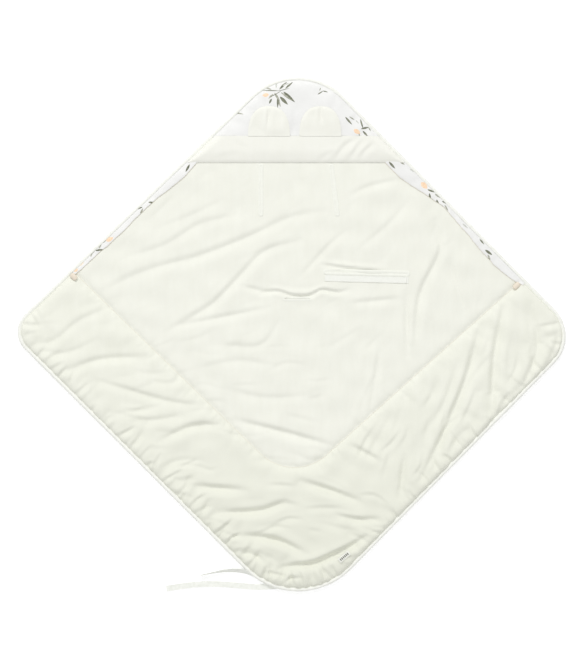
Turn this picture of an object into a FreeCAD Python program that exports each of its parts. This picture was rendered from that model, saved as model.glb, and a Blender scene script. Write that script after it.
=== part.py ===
"""Hooded baby wrap: a square, lightly padded blanket lying open on one corner, with an eared hood.

The blanket is a printed back cover, a wadding and a velour top (a centre lining inside a V-shaped
border), closed by corded piping all round. A hood with a padded brim and two ears is sewn over the
top corner. Four bound slots pass the straps of a car seat, and two ribbon ties hang at the foot.
The four corners fold in like an envelope, so every layer is cut at the fold lines.

Units are millimetres. +Z is up, +Y points at the hood, and the origin is the centre of the
blanket's box on the surface that it lies on.
"""

import FreeCAD
import Part

import math
import os

V = FreeCAD.Vector

# Blanket outline: the four corners before rounding (a square of about 900 a side), and their radii.
LEFT, TOP, RIGHT, BOTTOM = (-633, 7), (15, 632), (645, -3), (15, -641)
LEFT_R, TOP_R, RIGHT_R, BOTTOM_R = 54, 146, 85, 165

# Layers, from the floor up.
COVER_T = 1.0
WADDING_T = 8.4
LINING_T = 1.6
WADDING_Z = COVER_T
LINING_Z = WADDING_Z + WADDING_T
TOP_Z = LINING_Z + LINING_T

# Corded piping round the edge: a cord in a fabric sleeve, whose flat flange is caught in the seam.
PIPING_R = 3.0
CORD_R = 1.8
PIPING_Z = 6.1
FLANGE_T = 0.6
FLANGE_W = 7.0
EDGE_INSET = 2 * PIPING_R
WADDING_INSET = 17.0

# Envelope fold lines, and the slit between the pieces on the two sides of one.
FOLD_X = 310.0
HEAD_FOLD_Y = 379.0
FOOT_FOLD_Y = -385.0
FOLD_GAP = 1.0

# The V-shaped seam between the centre lining and the border.
SEAM_LEFT, SEAM_FOOT, SEAM_RIGHT = (-473, 128), (3, -335), (494, 105)
SEAM_R = 107

# Printed edge facings along the two upper sides, with a rolled end at the seam.
FACING_LEFT_W = 13.0
FACING_RIGHT_W = 24.0
FACING_END_R = 8.0
FACING_END_T = 3.0
FACING_END_LEFT, FACING_END_RIGHT = (-484, 128), (500, 108)

# Strap slots: centre, clear length, clear width and angle from +X, and the binding round each.
BINDING_T = 1.5
SLOTS = {
    "shoulder_slot_binding_left": ((-68, 318), 106, 8, 90),
    "shoulder_slot_binding_right": ((95, 318), 106, 8, 97),
    "crotch_slot_binding": ((13, 79), 60, 8, 0),
    "belt_slot_binding": ((167, 137), 186, 10, -1.5),
}
BELT_TAPE_W = 12.0
BELT_TAPE_T = 0.7

# Hood, raised off the blanket by the pocket for the head.
SEW_GAP = 0.3
BRIM_Y, BRIM_SEAM_Y = 381.0, 439.0
POCKET_INSET = 20.0
POCKET_TOP = TOP_Z + 5.9
HOOD_LINING_T = 0.8
HOOD_OUTER_Z = POCKET_TOP + HOOD_LINING_T + SEW_GAP
HOOD_TOP = HOOD_OUTER_Z + 1.2
BRIM_TOP = TOP_Z + 11.0
BRIM_WALL = 1.2

# Ears: each lies on the hood, and flops about the seam between hood and brim.
EAR_W, EAR_H, EAR_R = 93.0, 66.0, 40.0
EAR_X = {"left": -50.0, "right": 64.0}
EAR_SKIN = 1.0
EAR_FILL = 3.0
EAR_INSET = 4.0
EAR_Z = HOOD_TOP + SEW_GAP
EAR_BASE_Y = BRIM_SEAM_Y + 6.0

# Ribbon ties, sewn into the seam by one bar tack at the foot.
TIE_W, TIE_T = 12.7, 0.6
TIE_LOWER_Z = COVER_T + 0.3
TIE_UPPER_Z = TIE_LOWER_Z + TIE_T + 0.3
TACK = (-24, -559)
TACK_R, TACK_HOLE_R = 1.2, 1.3
TIE_END = 4.0
TIE_LOWER = [TACK, (-66, -564), (-117, -559), (-171, -555), (-226, -557), (-279, -566)]
TIE_UPPER = [TACK, (-46, -553), (-67, -542), (-90, -531), (-117, -525), (-146, -525),
             (-175, -530), (-203, -536)]

# Woven label beside the piping of the right foot edge.
LABEL_AT, LABEL_SIZE, LABEL_T, LABEL_ANGLE = (117, -493), (35, 12), 0.5, 40


# ---------------------------------------------------------------- flat shapes

def rounded_wire(corners, radii):
    """A closed wire through the corners, each rounded by its radius (0 leaves it sharp)."""
    count = len(corners)
    joints = []
    for i, radius in enumerate(radii):
        here = V(*corners[i], 0)
        back = (V(*corners[i - 1], 0) - here).normalize()
        ahead = (V(*corners[(i + 1) % count], 0) - here).normalize()
        half = back.getAngle(ahead) / 2
        reach = radius / math.tan(half)
        middle = here + (back + ahead).normalize() * (radius / math.sin(half) - radius)
        joints.append((here + back * reach, middle, here + ahead * reach, radius))
    edges = []
    for i, (start, middle, end, radius) in enumerate(joints):
        if radius > 0:
            edges.append(Part.Arc(start, middle, end).toShape())
        edges.append(Part.LineSegment(end, joints[(i + 1) % count][0]).toShape())
    return Part.Wire(edges)


def inset_corners(corners, insets):
    """The corners after each side, from corner i to the next, has moved inward by insets[i]."""
    count = len(corners)
    lines = []
    for i, inset in enumerate(insets):
        (ax, ay), (bx, by) = corners[i], corners[(i + 1) % count]
        length = math.hypot(bx - ax, by - ay)
        nx, ny = (by - ay) / length, (ax - bx) / length
        lines.append((nx, ny, nx * ax + ny * ay + inset))
    moved = []
    for i in range(count):
        (a, b, c), (d, e, f) = lines[i - 1], lines[i]
        det = a * e - b * d
        moved.append(((c * e - b * f) / det, (a * f - c * d) / det))
    return moved


def outline(left_top=0.0, top_right=0.0, lower=0.0):
    """The blanket's outline, clockwise from the left corner, with its sides moved inward."""
    corners = inset_corners([LEFT, TOP, RIGHT, BOTTOM], [left_top, top_right, lower, lower])
    insets = (max(left_top, lower), max(left_top, top_right), max(top_right, lower), lower)
    radii = [r - i for r, i in zip((LEFT_R, TOP_R, RIGHT_R, BOTTOM_R), insets)]
    return rounded_wire(corners, radii)


def even_outline(inset):
    return outline(inset, inset, inset)


def slab(wire, low, high):
    """The solid over a flat outline, from height low to high."""
    solid = Part.Face(wire).extrude(V(0, 0, high - low))
    solid.translate(V(0, 0, low))
    return solid


def bar(at, length, width, angle, low, high):
    """A rectangular bar turned by angle about Z."""
    solid = Part.makeBox(length, width, high - low, V(-length / 2, -width / 2, low))
    solid.rotate(V(0, 0, 0), V(0, 0, 1), angle)
    solid.translate(V(*at, 0))
    return solid


# ---------------------------------------------------------------- fold zones

FAR = 800.0
HALF_GAP = FOLD_GAP / 2


def block(x0, x1, y0, y1, z0=-FAR, z1=FAR):
    return Part.makeBox(x1 - x0, y1 - y0, z1 - z0, V(x0, y0, z0))


ZONES = {
    "centre": block(-FOLD_X + HALF_GAP, FOLD_X - HALF_GAP, FOOT_FOLD_Y + HALF_GAP, HEAD_FOLD_Y - HALF_GAP),
    "left": block(-FAR, -FOLD_X - HALF_GAP, -FAR, FAR),
    "right": block(FOLD_X + HALF_GAP, FAR, -FAR, FAR),
    "foot": block(-FOLD_X, FOLD_X, -FAR, FOOT_FOLD_Y - HALF_GAP),
    "head": block(-FOLD_X, FOLD_X, HEAD_FOLD_Y + HALF_GAP, FAR),
}


def zone_parts(name, layer, zones):
    """One node per zone that the layer reaches, named after both."""
    return {f"{name}_{zone}": layer.common(ZONES[zone]) for zone in zones}


# ---------------------------------------------------------------- blanket

def slot_tools(extra, low=-1.0, high=TOP_Z + 1.0):
    """Through-cutters for the four strap slots, widened by extra on every side."""
    return [bar(at, length + 2 * extra, width + 2 * extra, angle, low, high)
            for at, length, width, angle in SLOTS.values()]


def slotted(layer):
    for tool in slot_tools(BINDING_T):
        layer = layer.cut(tool)
    return layer


def seam_region():
    """Everything on the hood's side of the V-shaped seam."""
    (lx, ly), (fx, fy), (rx, ry) = SEAM_LEFT, SEAM_FOOT, SEAM_RIGHT
    out_left = (lx - (fx - lx), ly + (ly - fy))
    out_right = (rx + (rx - fx), ry + (ry - fy))
    corners = [out_left, (0, 2 * FAR), out_right, SEAM_FOOT]
    return slab(rounded_wire(corners, [0, 0, 0, SEAM_R]), -FAR, FAR)


def cover():
    return slotted(slab(even_outline(EDGE_INSET), 0, COVER_T))


def wadding():
    return slotted(slab(even_outline(WADDING_INSET), WADDING_Z, LINING_Z))


def top_layer():
    """The whole velour side, with its edge facings, as one slab: (lining, border, facings)."""
    whole = slab(even_outline(EDGE_INSET), LINING_Z, TOP_Z)
    inside = slab(outline(EDGE_INSET + FACING_LEFT_W, EDGE_INSET + FACING_RIGHT_W, EDGE_INSET),
                  LINING_Z, TOP_Z)
    upper = whole.common(seam_region())
    return slotted(upper.common(inside)), whole.cut(seam_region()), upper.cut(inside)


def facing_end(at):
    return Part.makeCylinder(FACING_END_R, FACING_END_T, V(*at, TOP_Z))


def slot_binding(at, length, width, angle):
    outer = bar(at, length + 2 * BINDING_T, width + 2 * BINDING_T, angle, 0, TOP_Z)
    return outer.cut(bar(at, length, width, angle, -1, TOP_Z + 1))


def belt_slot_tape():
    """The wide woven tape that faces the lower lip of the belt slot."""
    (x, y), length, width, angle = SLOTS["belt_slot_binding"]
    drop = width / 2 + BINDING_T + BELT_TAPE_W / 2
    return bar((x, y - drop), length, BELT_TAPE_W, angle, TOP_Z, TOP_Z + BELT_TAPE_T)


def tube_round_edge(radius):
    path = even_outline(PIPING_R)
    path.translate(V(0, 0, PIPING_Z))
    start = path.Edges[1].valueAt(path.Edges[1].FirstParameter)
    along = path.Edges[1].tangentAt(path.Edges[1].FirstParameter)
    section = Part.Wire([Part.Circle(start, along, radius).toShape()])
    spine = Part.Wire(path.Edges[1:] + path.Edges[:1])
    return spine.makePipeShell([section], True, False)


def piping_sleeve():
    tube = tube_round_edge(PIPING_R).cut(tube_round_edge(CORD_R))
    low = PIPING_Z - FLANGE_T / 2
    flange = slab(even_outline(EDGE_INSET - 0.5), low, low + FLANGE_T)
    flange = flange.cut(slab(even_outline(EDGE_INSET + FLANGE_W), low - 1, low + FLANGE_T + 1))
    return tube.fuse(flange)


# ---------------------------------------------------------------- hood and ears

def hood_block(y0, y1, low, high, inset):
    return slab(even_outline(inset), low, high).common(block(-FAR, FAR, y0, y1))


def hood_outer():
    """The printed hood: a roof with side walls that stand on the blanket's edge."""
    roof = hood_block(BRIM_SEAM_Y, FAR, TOP_Z + SEW_GAP, HOOD_TOP, EDGE_INSET)
    return roof.cut(hood_block(0, FAR, TOP_Z - 1, HOOD_OUTER_Z, POCKET_INSET))


def hood_lining():
    return hood_block(BRIM_SEAM_Y, FAR, POCKET_TOP, POCKET_TOP + HOOD_LINING_T, POCKET_INSET + SEW_GAP)


def brim_cavity(clearance):
    inset = POCKET_INSET + BRIM_WALL + clearance
    gap = BRIM_WALL + clearance
    return hood_block(BRIM_Y + gap, BRIM_SEAM_Y - gap, POCKET_TOP + gap, BRIM_TOP - gap, inset)


def hood_brim():
    band = hood_block(BRIM_Y, BRIM_SEAM_Y, TOP_Z + SEW_GAP, BRIM_TOP, EDGE_INSET)
    band = band.cut(hood_block(0, FAR, TOP_Z - 1, POCKET_TOP, POCKET_INSET))
    return band.cut(brim_cavity(0))


def ear_layer(x, inset, low, high):
    """One layer of an ear: straight sides and a rounded top, standing on its base line."""
    half = EAR_W / 2 - inset
    base, tip = EAR_BASE_Y + inset, EAR_BASE_Y + EAR_H - inset
    corners = [(x - half, base), (x - half, tip), (x + half, tip), (x + half, base)]
    return slab(rounded_wire(corners, [0, EAR_R - inset, EAR_R - inset, 0]), low, high)


def ear(side, x):
    """The printed back, the filling and the velour front of one ear, from the hood up."""
    fill_z = EAR_Z + EAR_SKIN
    front_z = fill_z + EAR_FILL
    return {
        f"ear_back_{side}": ear_layer(x, 0, EAR_Z, fill_z),
        f"ear_filling_{side}": ear_layer(x, EAR_INSET, fill_z, front_z),
        f"ear_front_{side}": ear_layer(x, 0, front_z, front_z + EAR_SKIN),
    }


# ---------------------------------------------------------------- ties and label

def tie_path(points):
    """Straight runs joined by tangent arcs, each as large as its two runs allow."""
    spots = [V(*p, 0) for p in points]
    edges = []
    start = spots[0]
    for before, here, after in zip(spots, spots[1:], spots[2:]):
        back, ahead = before - here, after - here
        reach = 0.45 * min(back.Length, ahead.Length)
        half_turn = (math.pi - back.getAngle(ahead)) / 2
        radius = reach / math.tan(half_turn)
        back.normalize()
        ahead.normalize()
        enter, leave = here + back * reach, here + ahead * reach
        inward = (back + ahead).normalize()
        middle = here + inward * (math.hypot(reach, radius) - radius)
        edges += [Part.LineSegment(start, enter).toShape(), Part.Arc(enter, middle, leave).toShape()]
        print(f"tie arc radius {radius:.0f}")
        start = leave
    edges.append(Part.LineSegment(start, spots[-1]).toShape())
    return Part.Wire(edges)


def tie(points, low):
    """A flat ribbon along its route, with the hole that its bar tack passes through."""
    path = tie_path(points)
    first = V(*points[0], 0)
    along = (V(*points[1], 0) - first).normalize()
    side = V(-along.y, along.x, 0) * (TIE_W / 2)
    up = V(0, 0, TIE_T)
    corners = [first - side, first + side, first + side + up, first - side + up]
    ribbon = path.makePipeShell([Part.makePolygon(corners + corners[:1])], True, False)
    print(f"tie length {path.Length:.1f}, volume over section {ribbon.Volume / (TIE_W * TIE_T):.1f}")
    end = Part.Face(Part.makePolygon(corners + corners[:1])).extrude(along * -TIE_END)
    ribbon = ribbon.fuse(end).removeSplitter()
    ribbon = ribbon.cut(Part.makeCylinder(TACK_HOLE_R, 2 * TIE_T, first - up / 2))
    ribbon.translate(V(0, 0, low))
    return ribbon


def tie_bar_tack():
    """Holds both ties in the edge seam, between the cover and the flange of the piping."""
    return Part.makeCylinder(TACK_R, PIPING_Z - FLANGE_T / 2 - COVER_T, V(*TACK, COVER_T))


def label():
    return bar(LABEL_AT, *LABEL_SIZE, LABEL_ANGLE, TOP_Z, TOP_Z + LABEL_T)


# ---------------------------------------------------------------- all nodes

def build():
    everywhere = list(ZONES)
    lining, border, facings = top_layer()
    nodes = {}
    nodes |= zone_parts("cover", cover(), everywhere)
    nodes |= zone_parts("wadding", wadding(), everywhere)
    nodes |= zone_parts("lining", lining, ["centre", "left", "right", "head"])
    nodes |= zone_parts("border", border, ["centre", "left", "right", "foot"])
    nodes |= zone_parts("edge_facing", facings, ["centre", "left", "right", "head"])
    nodes |= zone_parts("piping_sleeve", piping_sleeve(), everywhere)
    nodes |= zone_parts("piping_cord", tube_round_edge(CORD_R), everywhere)
    nodes["facing_end_left"] = facing_end(FACING_END_LEFT)
    nodes["facing_end_right"] = facing_end(FACING_END_RIGHT)
    nodes |= {name: slot_binding(*slot) for name, slot in SLOTS.items()}
    nodes["belt_slot_tape"] = belt_slot_tape()
    nodes["hood_outer"] = hood_outer()
    nodes["hood_lining"] = hood_lining()
    nodes["hood_brim"] = hood_brim()
    nodes["hood_brim_wadding"] = brim_cavity(0)
    for side, x in EAR_X.items():
        nodes |= ear(side, x)
    nodes["tie_lower"] = tie(TIE_LOWER, TIE_LOWER_Z)
    nodes["tie_upper"] = tie(TIE_UPPER, TIE_UPPER_Z)
    nodes["tie_bar_tack"] = tie_bar_tack()
    nodes["woven_label"] = label()
    return nodes


def main():
    os.makedirs("parts", exist_ok=True)
    for name, shape in build().items():
        solids = shape.Solids
        valid = shape.isValid() and solids and all(s.Volume > 0 for s in solids)
        print(f"{name}: {len(solids)} solid(s), {shape.Volume / 1000:.2f} cm3, {'ok' if valid else 'BAD'}")
        Part.makeCompound(solids).exportStep(f"parts/{name}.step")


main()
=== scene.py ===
"""The looks of the hooded baby wrap, built around its CAD frame.

The wrap lies open on one corner: +Y points at the hood, +Z is up, and everything is in metres.
The inside (a velour lining within a velour border), the hood, the brim and the ears are cloth that
is cut a little larger than its place, held at its seams, and left to pucker by simulation. The
larger folds and the puckers along the seams are laid into it by code, before and after that. Each
layer is one sheet at first, and is parted only where a piece would cross two fold lines.
"""

import math

import bmesh
import bpy
import numpy as np
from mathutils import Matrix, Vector
from mathutils.bvhtree import BVHTree
from mathutils.geometry import convex_hull_2d, delaunay_2d_cdt
from mathutils.kdtree import KDTree


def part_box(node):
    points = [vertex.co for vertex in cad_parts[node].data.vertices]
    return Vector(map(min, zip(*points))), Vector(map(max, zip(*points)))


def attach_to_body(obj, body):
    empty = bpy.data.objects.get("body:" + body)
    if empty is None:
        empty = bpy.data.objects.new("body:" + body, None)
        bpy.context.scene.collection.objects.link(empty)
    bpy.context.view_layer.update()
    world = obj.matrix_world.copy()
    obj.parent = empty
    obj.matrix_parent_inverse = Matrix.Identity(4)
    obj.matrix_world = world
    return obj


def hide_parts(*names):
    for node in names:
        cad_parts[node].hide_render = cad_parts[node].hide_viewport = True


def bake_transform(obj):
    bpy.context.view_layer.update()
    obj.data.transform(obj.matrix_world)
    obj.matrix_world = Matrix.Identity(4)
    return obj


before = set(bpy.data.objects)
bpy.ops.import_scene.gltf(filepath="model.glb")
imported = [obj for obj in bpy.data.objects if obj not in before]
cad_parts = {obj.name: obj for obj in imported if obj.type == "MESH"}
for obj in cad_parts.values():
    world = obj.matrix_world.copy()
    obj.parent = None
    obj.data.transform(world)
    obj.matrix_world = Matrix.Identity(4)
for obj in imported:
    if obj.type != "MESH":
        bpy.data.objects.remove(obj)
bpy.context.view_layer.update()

RNG = np.random.default_rng(7)

# ---------------------------------------------------------------- sizes

MM = 0.001
STEP = 7 * MM                       # spacing of the cloth's points before subdivision
EDGE = 7.5 * MM                     # from the outline to the seam inside the piping
WADDING_EDGE = 17 * MM

# The V-shaped seam between lining and border.
SEAM = [(-0.473, 0.128), (0.003, -0.335), (0.494, 0.105)]
SEAM_R = 0.107

# The lines where a sheet is parted, one near each corner's fold line.
PART_X, PART_HEAD, PART_FOOT = 0.200, 0.350, -0.360
CORNERS = ("centre", "left", "right", "head", "foot")

# Heights above the floor.
PIPING_LOW, PIPING_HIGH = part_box("piping_sleeve_centre")
PIPING_Z = (PIPING_LOW.z + PIPING_HIGH.z) / 2
SEAM_Z = 7.8 * MM
LINING_Z, BORDER_Z = 12.0 * MM, 15.8 * MM
EDGE_ROLL = 22 * MM                 # how far the pad's side curves in from the piping
EDGE_Z = 6.2 * MM
EAR_Z = 20.5 * MM

# Thickness of the two cloths.
VELOUR_T, PRINT_T = 1.4 * MM, 0.9 * MM

# Slots: centre, clear length, clear width and angle from +X in degrees.
SLOTS = {
    "shoulder_slot_binding_left": ((-0.068, 0.321), 0.112, 0.008, 90),
    "shoulder_slot_binding_right": ((0.095, 0.321), 0.112, 0.008, 97),
    "crotch_slot_binding": ((0.013, 0.079), 0.060, 0.008, 0),
    "belt_slot_binding": ((0.167, 0.137), 0.186, 0.010, -1.5),
}

# How deep the folds are, as a share: by y, and by x.
DEPTH_BY_Y = [(-0.6, 1.5), (-0.4, 1.3), (-0.2, 1.05), (0.05, 0.85), (0.3, 0.62)]
DEPTH_BY_X = [(-0.45, 0.75), (-0.1, 1.0), (0.2, 1.1), (0.5, 1.25)]

# The folds that the wrap was laid down with: points along the fold, its height (below zero for a
# valley) and its half width, in millimetres.
FOLDS = [
    ([(-415, 100), (-315, 145), (-205, 175), (-90, 220), (-5, 260), (75, 275)], -5.5, 10),
    ([(-370, 170), (-280, 200), (-205, 245), (-125, 265)], -4, 9),
    ([(-300, 235), (-230, 262), (-150, 300)], -2.5, 8),
    ([(-270, 10), (-180, 65), (-115, 130), (-60, 185), (20, 210)], -5.5, 9),
    ([(20, 130), (85, 200), (120, 230)], -3, 7),
    ([(130, 310), (175, 330), (240, 345)], -3.5, 8),
    ([(150, 190), (215, 245), (262, 300)], -2.5, 8),
    ([(319, 254), (330, 188), (286, 88), (274, -23)], -5.5, 9),
    ([(352, 166), (374, 88), (386, 54)], -3, 7),
    ([(-110, 108), (-59, 96), (-36, 95)], -4, 6),
    ([(66, 100), (99, 94), (130, 100)], -4, 6),
    ([(-260, 20), (-200, 30), (-50, 60)], -4, 8),
    ([(130, 70), (240, 80)], -3.5, 8),
    ([(-159, -23), (-70, -23), (-26, 32)], -2.5, 8),
    ([(-210, -75), (-120, -58), (-30, -70)], -2, 9),
    ([(257, 100), (258, -45)], -4.0, 6),
    ([(197, -23), (186, -101), (174, -168)], -3, 8),
    ([(-315, 255), (-260, 310)], -2.5, 8),
    ([(-125, -190), (-25, -215), (85, -245)], -5.5, 9),
    ([(-150, -120), (-60, -140), (40, -135)], -2, 9),
    ([(-510, -85), (-425, -55), (-325, -50)], -6, 9),
    ([(-437, -101), (-281, -146), (-203, -157)], -4.5, 8),
    ([(-581, -23), (-526, -12), (-470, 32), (-392, 66)], -4, 8),
    ([(-575, -35), (-500, -40), (-430, -10)], -3.5, 8),
    ([(-390, -175), (-320, -190), (-245, -180)], -4, 8),
    ([(-290, -235), (-225, -205), (-150, -200)], -6, 9),
    ([(-225, -335), (-170, -340), (-105, -345)], -6, 9),
    ([(-160, -395), (-70, -390), (-15, -370)], -6.5, 9),
    ([(-115, -445), (-35, -455), (30, -485)], -7, 9),
    ([(20, -325), (85, -345), (150, -370)], -6, 9),
    ([(-26, -519), (6, -512), (46, -508), (81, -494), (134, -468), (165, -448)], -8.5, 8),
    ([(-59, -529), (-35, -531), (-15, -538)], -4.5, 5),
    ([(-15, -551), (-2, -540), (21, -540)], -4, 5),
    ([(-114, -485), (-81, -490), (-60, -505)], -4.5, 6),
    ([(474, 77), (452, -34), (446, -134), (452, -190)], -6.5, 10),
    ([(419, 21), (386, -101), (330, -234), (286, -323)], -6.5, 10),
    ([(530, 66), (546, -23), (519, -101), (474, -146)], -5, 10),
    ([(370, -60), (340, -150), (300, -215)], -3, 9),
    ([(585, 40), (590, -10), (566, -70)], -4, 8),
    ([(250, -270), (240, -355)], -4.5, 8),
    ([(130, -245), (195, -280)], -4.5, 8),
    ([(130, -410), (195, -410)], -4.5, 8),
]

# Which way the slighter folds run: a place in millimetres, and degrees from +X.
FOLD_WAYS = [
    ((-480, -20), 20), ((-300, -170), 8), ((-150, -380), -4), ((0, -480), 12), ((120, -380), -22),
    ((250, -280), 62), ((400, -80), 72), ((530, 10), 98), ((-300, 150), 28), ((-100, 170), 34),
    ((0, 0), 12), ((200, 220), 48), ((320, 120), 82), ((0, -210), -12), ((190, -110), 80),
]

# The two creases where the lining hangs over a slot's upper edge, in millimetres.
SLOT_CREASES = [
    ([(66, 156), (92, 152), (125, 147), (160, 143), (190, 141), (213, 139.5)], -3.8, 3.4),
    ([(72, 163), (125, 155), (165, 151), (205, 149)], 1.5, 6),
    ([(-66, 92), (-41, 97), (-24, 95.5), (-6, 88.5), (14, 85.5), (40, 87), (54, 94), (70, 100),
      (108, 94)], -4.2, 3.8),
    ([(-50, 106), (-10, 98), (14, 95), (44, 97), (80, 108)], 1.6, 6),
]

# Hood, brim and ears.
HOOD_Y, HOOD_Z = 0.437, 18.6 * MM
BRIM_Y, BRIM_SEAM_Y = 0.382, 0.4405
EAR_W, EAR_H, EAR_Y = 0.093, 0.0665, 0.4398

# The end of each facing, and its width in millimetres at shares of its length from the brim.
SIDE = {"left": -1, "right": 1}
FACINGS = {
    "left": ((-0.484, 0.128), [(0, 15), (0.1, 20), (0.2, 17), (0.32, 11.5), (0.49, 9.5),
                               (0.6, 13), (0.8, 9.5), (0.95, 8), (1, 5)]),
    "right": ((0.500, 0.108), [(0, 31), (0.09, 32), (0.22, 19), (0.36, 9), (0.45, 10), (0.67, 17),
                               (0.8, 21), (0.93, 15), (1, 6)]),
}

# How far each slot's upper lip reaches over the lining, in millimetres.
LIPS = {
    "shoulder_slot_binding_left": 3.4,
    "shoulder_slot_binding_right": 3.4,
    "crotch_slot_binding": 2.6,
    "belt_slot_binding": 4.0,
}

# How far each slot's binding reaches in over the opening, in millimetres.
WINDOW = {
    "shoulder_slot_binding_left": 1.9,
    "shoulder_slot_binding_right": 1.9,
    "crotch_slot_binding": 1.7,
    "belt_slot_binding": 2.5,
}

# The two ties of twill tape: where they are tacked down, and their routes in millimetres.
TACK = (-0.024, -0.559)
TIE_W = 12.7 * MM
TIE_LOWER = [(-24, -559), (-66, -564), (-117, -559), (-171, -555), (-226, -557), (-279, -566)]
TIE_UPPER = [(-24, -559), (-46, -553), (-67, -542), (-90, -531), (-117, -525), (-146, -525),
             (-175, -530), (-203, -536)]

LABEL_AT, LABEL_TURN = (0.117, -0.493), 40
LABEL_L, LABEL_W = 30 * MM, 11 * MM

# Folds in the hood and the brim, and the pleats down the ears, in millimetres.
HOOD_FOLDS = [
    ([(-150, 450), (-110, 500), (-80, 535)], -1.6, 10),
    ([(160, 455), (130, 500), (95, 540)], -1.8, 10),
    ([(-20, 600), (20, 585), (60, 592)], -1.4, 9),
    ([(2, 440), (4, 470), (8, 505)], -2.2, 7),
    ([(12, 440), (16, 465), (12, 490)], 1.6, 5),
]
BRIM_FOLDS = [
    ([(92, 388), (104, 400), (119, 419), (148, 438)], -4.0, 6),
    ([(130, 392), (138, 402), (148, 419), (161, 431)], -3.5, 5),
    ([(152, 392), (161, 405), (183, 425)], -3.5, 5),
    ([(60, 384), (75, 398), (100, 404)], -1.8, 6),
    ([(-170, 384), (-150, 396), (-110, 402)], -1.2, 7),
    ([(-60, 384), (-52, 410), (-55, 436)], -0.7, 6),
    ([(-130, 437), (-115, 420), (-90, 414)], -0.8, 6),
]
EAR_PLEATS = {
    "left": [((-54, 450), (-50, 500))],
    "right": [((67, 470), (66, 508))],
}

# The print: each leaf's root, direction in degrees, length, width and tint; a berry is short.
TINTS = {
    "olive": ((0.27, 0.28, 0.20, 1), (0.09, 0.10, 0.065, 1)),
    "grey": ((0.52, 0.52, 0.44, 1), (0.26, 0.27, 0.21, 1)),
    "pale": ((0.66, 0.67, 0.62, 1), (0.50, 0.51, 0.47, 1)),
    "peach": ((0.92, 0.72, 0.52, 1), (0.88, 0.60, 0.40, 1)),
    "sand": ((0.86, 0.76, 0.62, 1), (0.78, 0.66, 0.50, 1)),
}
SPRAY = [
    (-27, 544, 46, 25, 7, "olive"), (-14, 545, 43, 24, 6, "olive"), (-18, 539, -43, 36, 9, "olive"),
    (-24, 538, -38, 32, 6, "grey"), (-26, 528, -45, 26, 10, "olive"), (-32, 526, -70, 23, 7, "grey"),
    (-30, 528, -92, 26, 6, "olive"), (-44, 523, -116, 13, 6, "olive"), (-38, 537, -58, 24, 7, "grey"),
    (-28, 541, 178, 42, 3.2, "olive"), (-44, 544, 160, 20, 5, "grey"), (-34, 547, 88, 14, 5, "pale"),
    (-22, 541, -150, 34, 2.2, "olive"), (-20, 552, 24, 18, 5, "pale"), (-50, 532, 186, 15, 9, "peach"),
    (-32, 540, 12, 30, 2.0, "olive"), (-40, 534, -135, 16, 6, "grey"),
]
PLACED = SPRAY + [
    (58, 533, 32, 15, 4, "olive"), (69, 541, -14, 13, 3.5, "olive"), (62, 541, 66, 9, 3, "grey"),
    (-127, 494, -14, 22, 5, "grey"), (-119, 499, 24, 14, 4, "olive"),
    (119, 483, -48, 24, 6, "olive"), (128, 484, -30, 15, 4, "grey"), (153, 479, -76, 24, 5, "olive"),
    (138, 455, -34, 18, 10, "peach"), (154, 456, 14, 20, 6, "olive"), (158, 452, -48, 18, 6, "olive"),
    (150, 446, -85, 16, 5, "grey"), (170, 462, -60, 13, 4, "grey"), (150, 468, 130, 12, 4, "pale"),
    (-232, 388, 8, 26, 7, "olive"), (-226, 378, -118, 20, 7, "olive"), (-214, 392, 60, 12, 5, "grey"),
    (204, 391, -8, 26, 7, "olive"), (216, 384, -48, 22, 7, "olive"), (240, 384, -30, 14, 5, "grey"),
    (-345, 278, 20, 16, 5, "olive"), (-336, 268, 64, 15, 5, "grey"), (-318, 294, -8, 16, 6, "olive"),
    (-310, 286, 60, 13, 5, "grey"), (-412, 208, 24, 18, 10, "peach"), (-450, 176, 40, 20, 6, "olive"),
    (-446, 172, 78, 18, 6, "grey"), (-436, 186, 10, 18, 6, "olive"), (-428, 190, 66, 16, 5, "grey"),
    (-424, 202, 30, 14, 5, "olive"), (-470, 152, 50, 14, 6, "sand"),
    (288, 338, -46, 20, 12, "peach"), (302, 322, -20, 18, 6, "olive"), (306, 314, -80, 16, 6, "olive"),
    (318, 312, -30, 20, 6, "grey"), (322, 300, -70, 18, 6, "olive"), (334, 296, -20, 18, 6, "olive"),
    (340, 288, -60, 16, 5, "grey"), (418, 212, -50, 16, 5, "olive"), (430, 188, -36, 20, 8, "olive"),
    (436, 178, -70, 16, 6, "grey"), (380, 246, -40, 16, 5, "pale"), (262, 368, -30, 14, 5, "pale"),
    (486, 122, -60, 16, 8, "peach"), (-484, 140, 30, 12, 7, "peach"),
]
SPRIG = [(x + 30, y - 535, turn, length, width, tint) for x, y, turn, length, width, tint in SPRAY]
SPRIG += [(-62, 38, 30, 14, 5, "grey"), (-54, 46, -30, 12, 4, "pale"), (48, -52, 60, 13, 9, "peach"),
          (56, -44, 10, 13, 5, "olive"), (40, 50, 120, 14, 5, "grey"), (-48, -50, -20, 15, 5, "olive")]

# How much narrower than listed a leaf and a berry are painted.
LEAF_SLIM, BERRY_SLIM = 0.36, 0.5

# Studio: the floor's two tones, the lights (name, place, size, power, target), sky and camera.
FLOOR_A, FLOOR_B = (1.0, 1.0, 1.0, 1), (0.985, 0.985, 0.985, 1)
LIGHTS = [
    ("key", (-1.2, 5.85, 4.95), 1.95, 273, (0, 0, 0)),
    ("top", (0, -1.0, 4.9), 2.4, 65, (0, -0.2, 0)),
]
SKY = 0.56
CAMERA_X, CAMERA_Y, CAMERA_Z = 0.0022, -0.0011, 4.147


# ---------------------------------------------------------------- flat geometry

def lengths_along(points):
    """How far along the polyline each of its points is."""
    return np.concatenate([[0], np.cumsum(np.linalg.norm(np.diff(points, axis=0), axis=1))])


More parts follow.
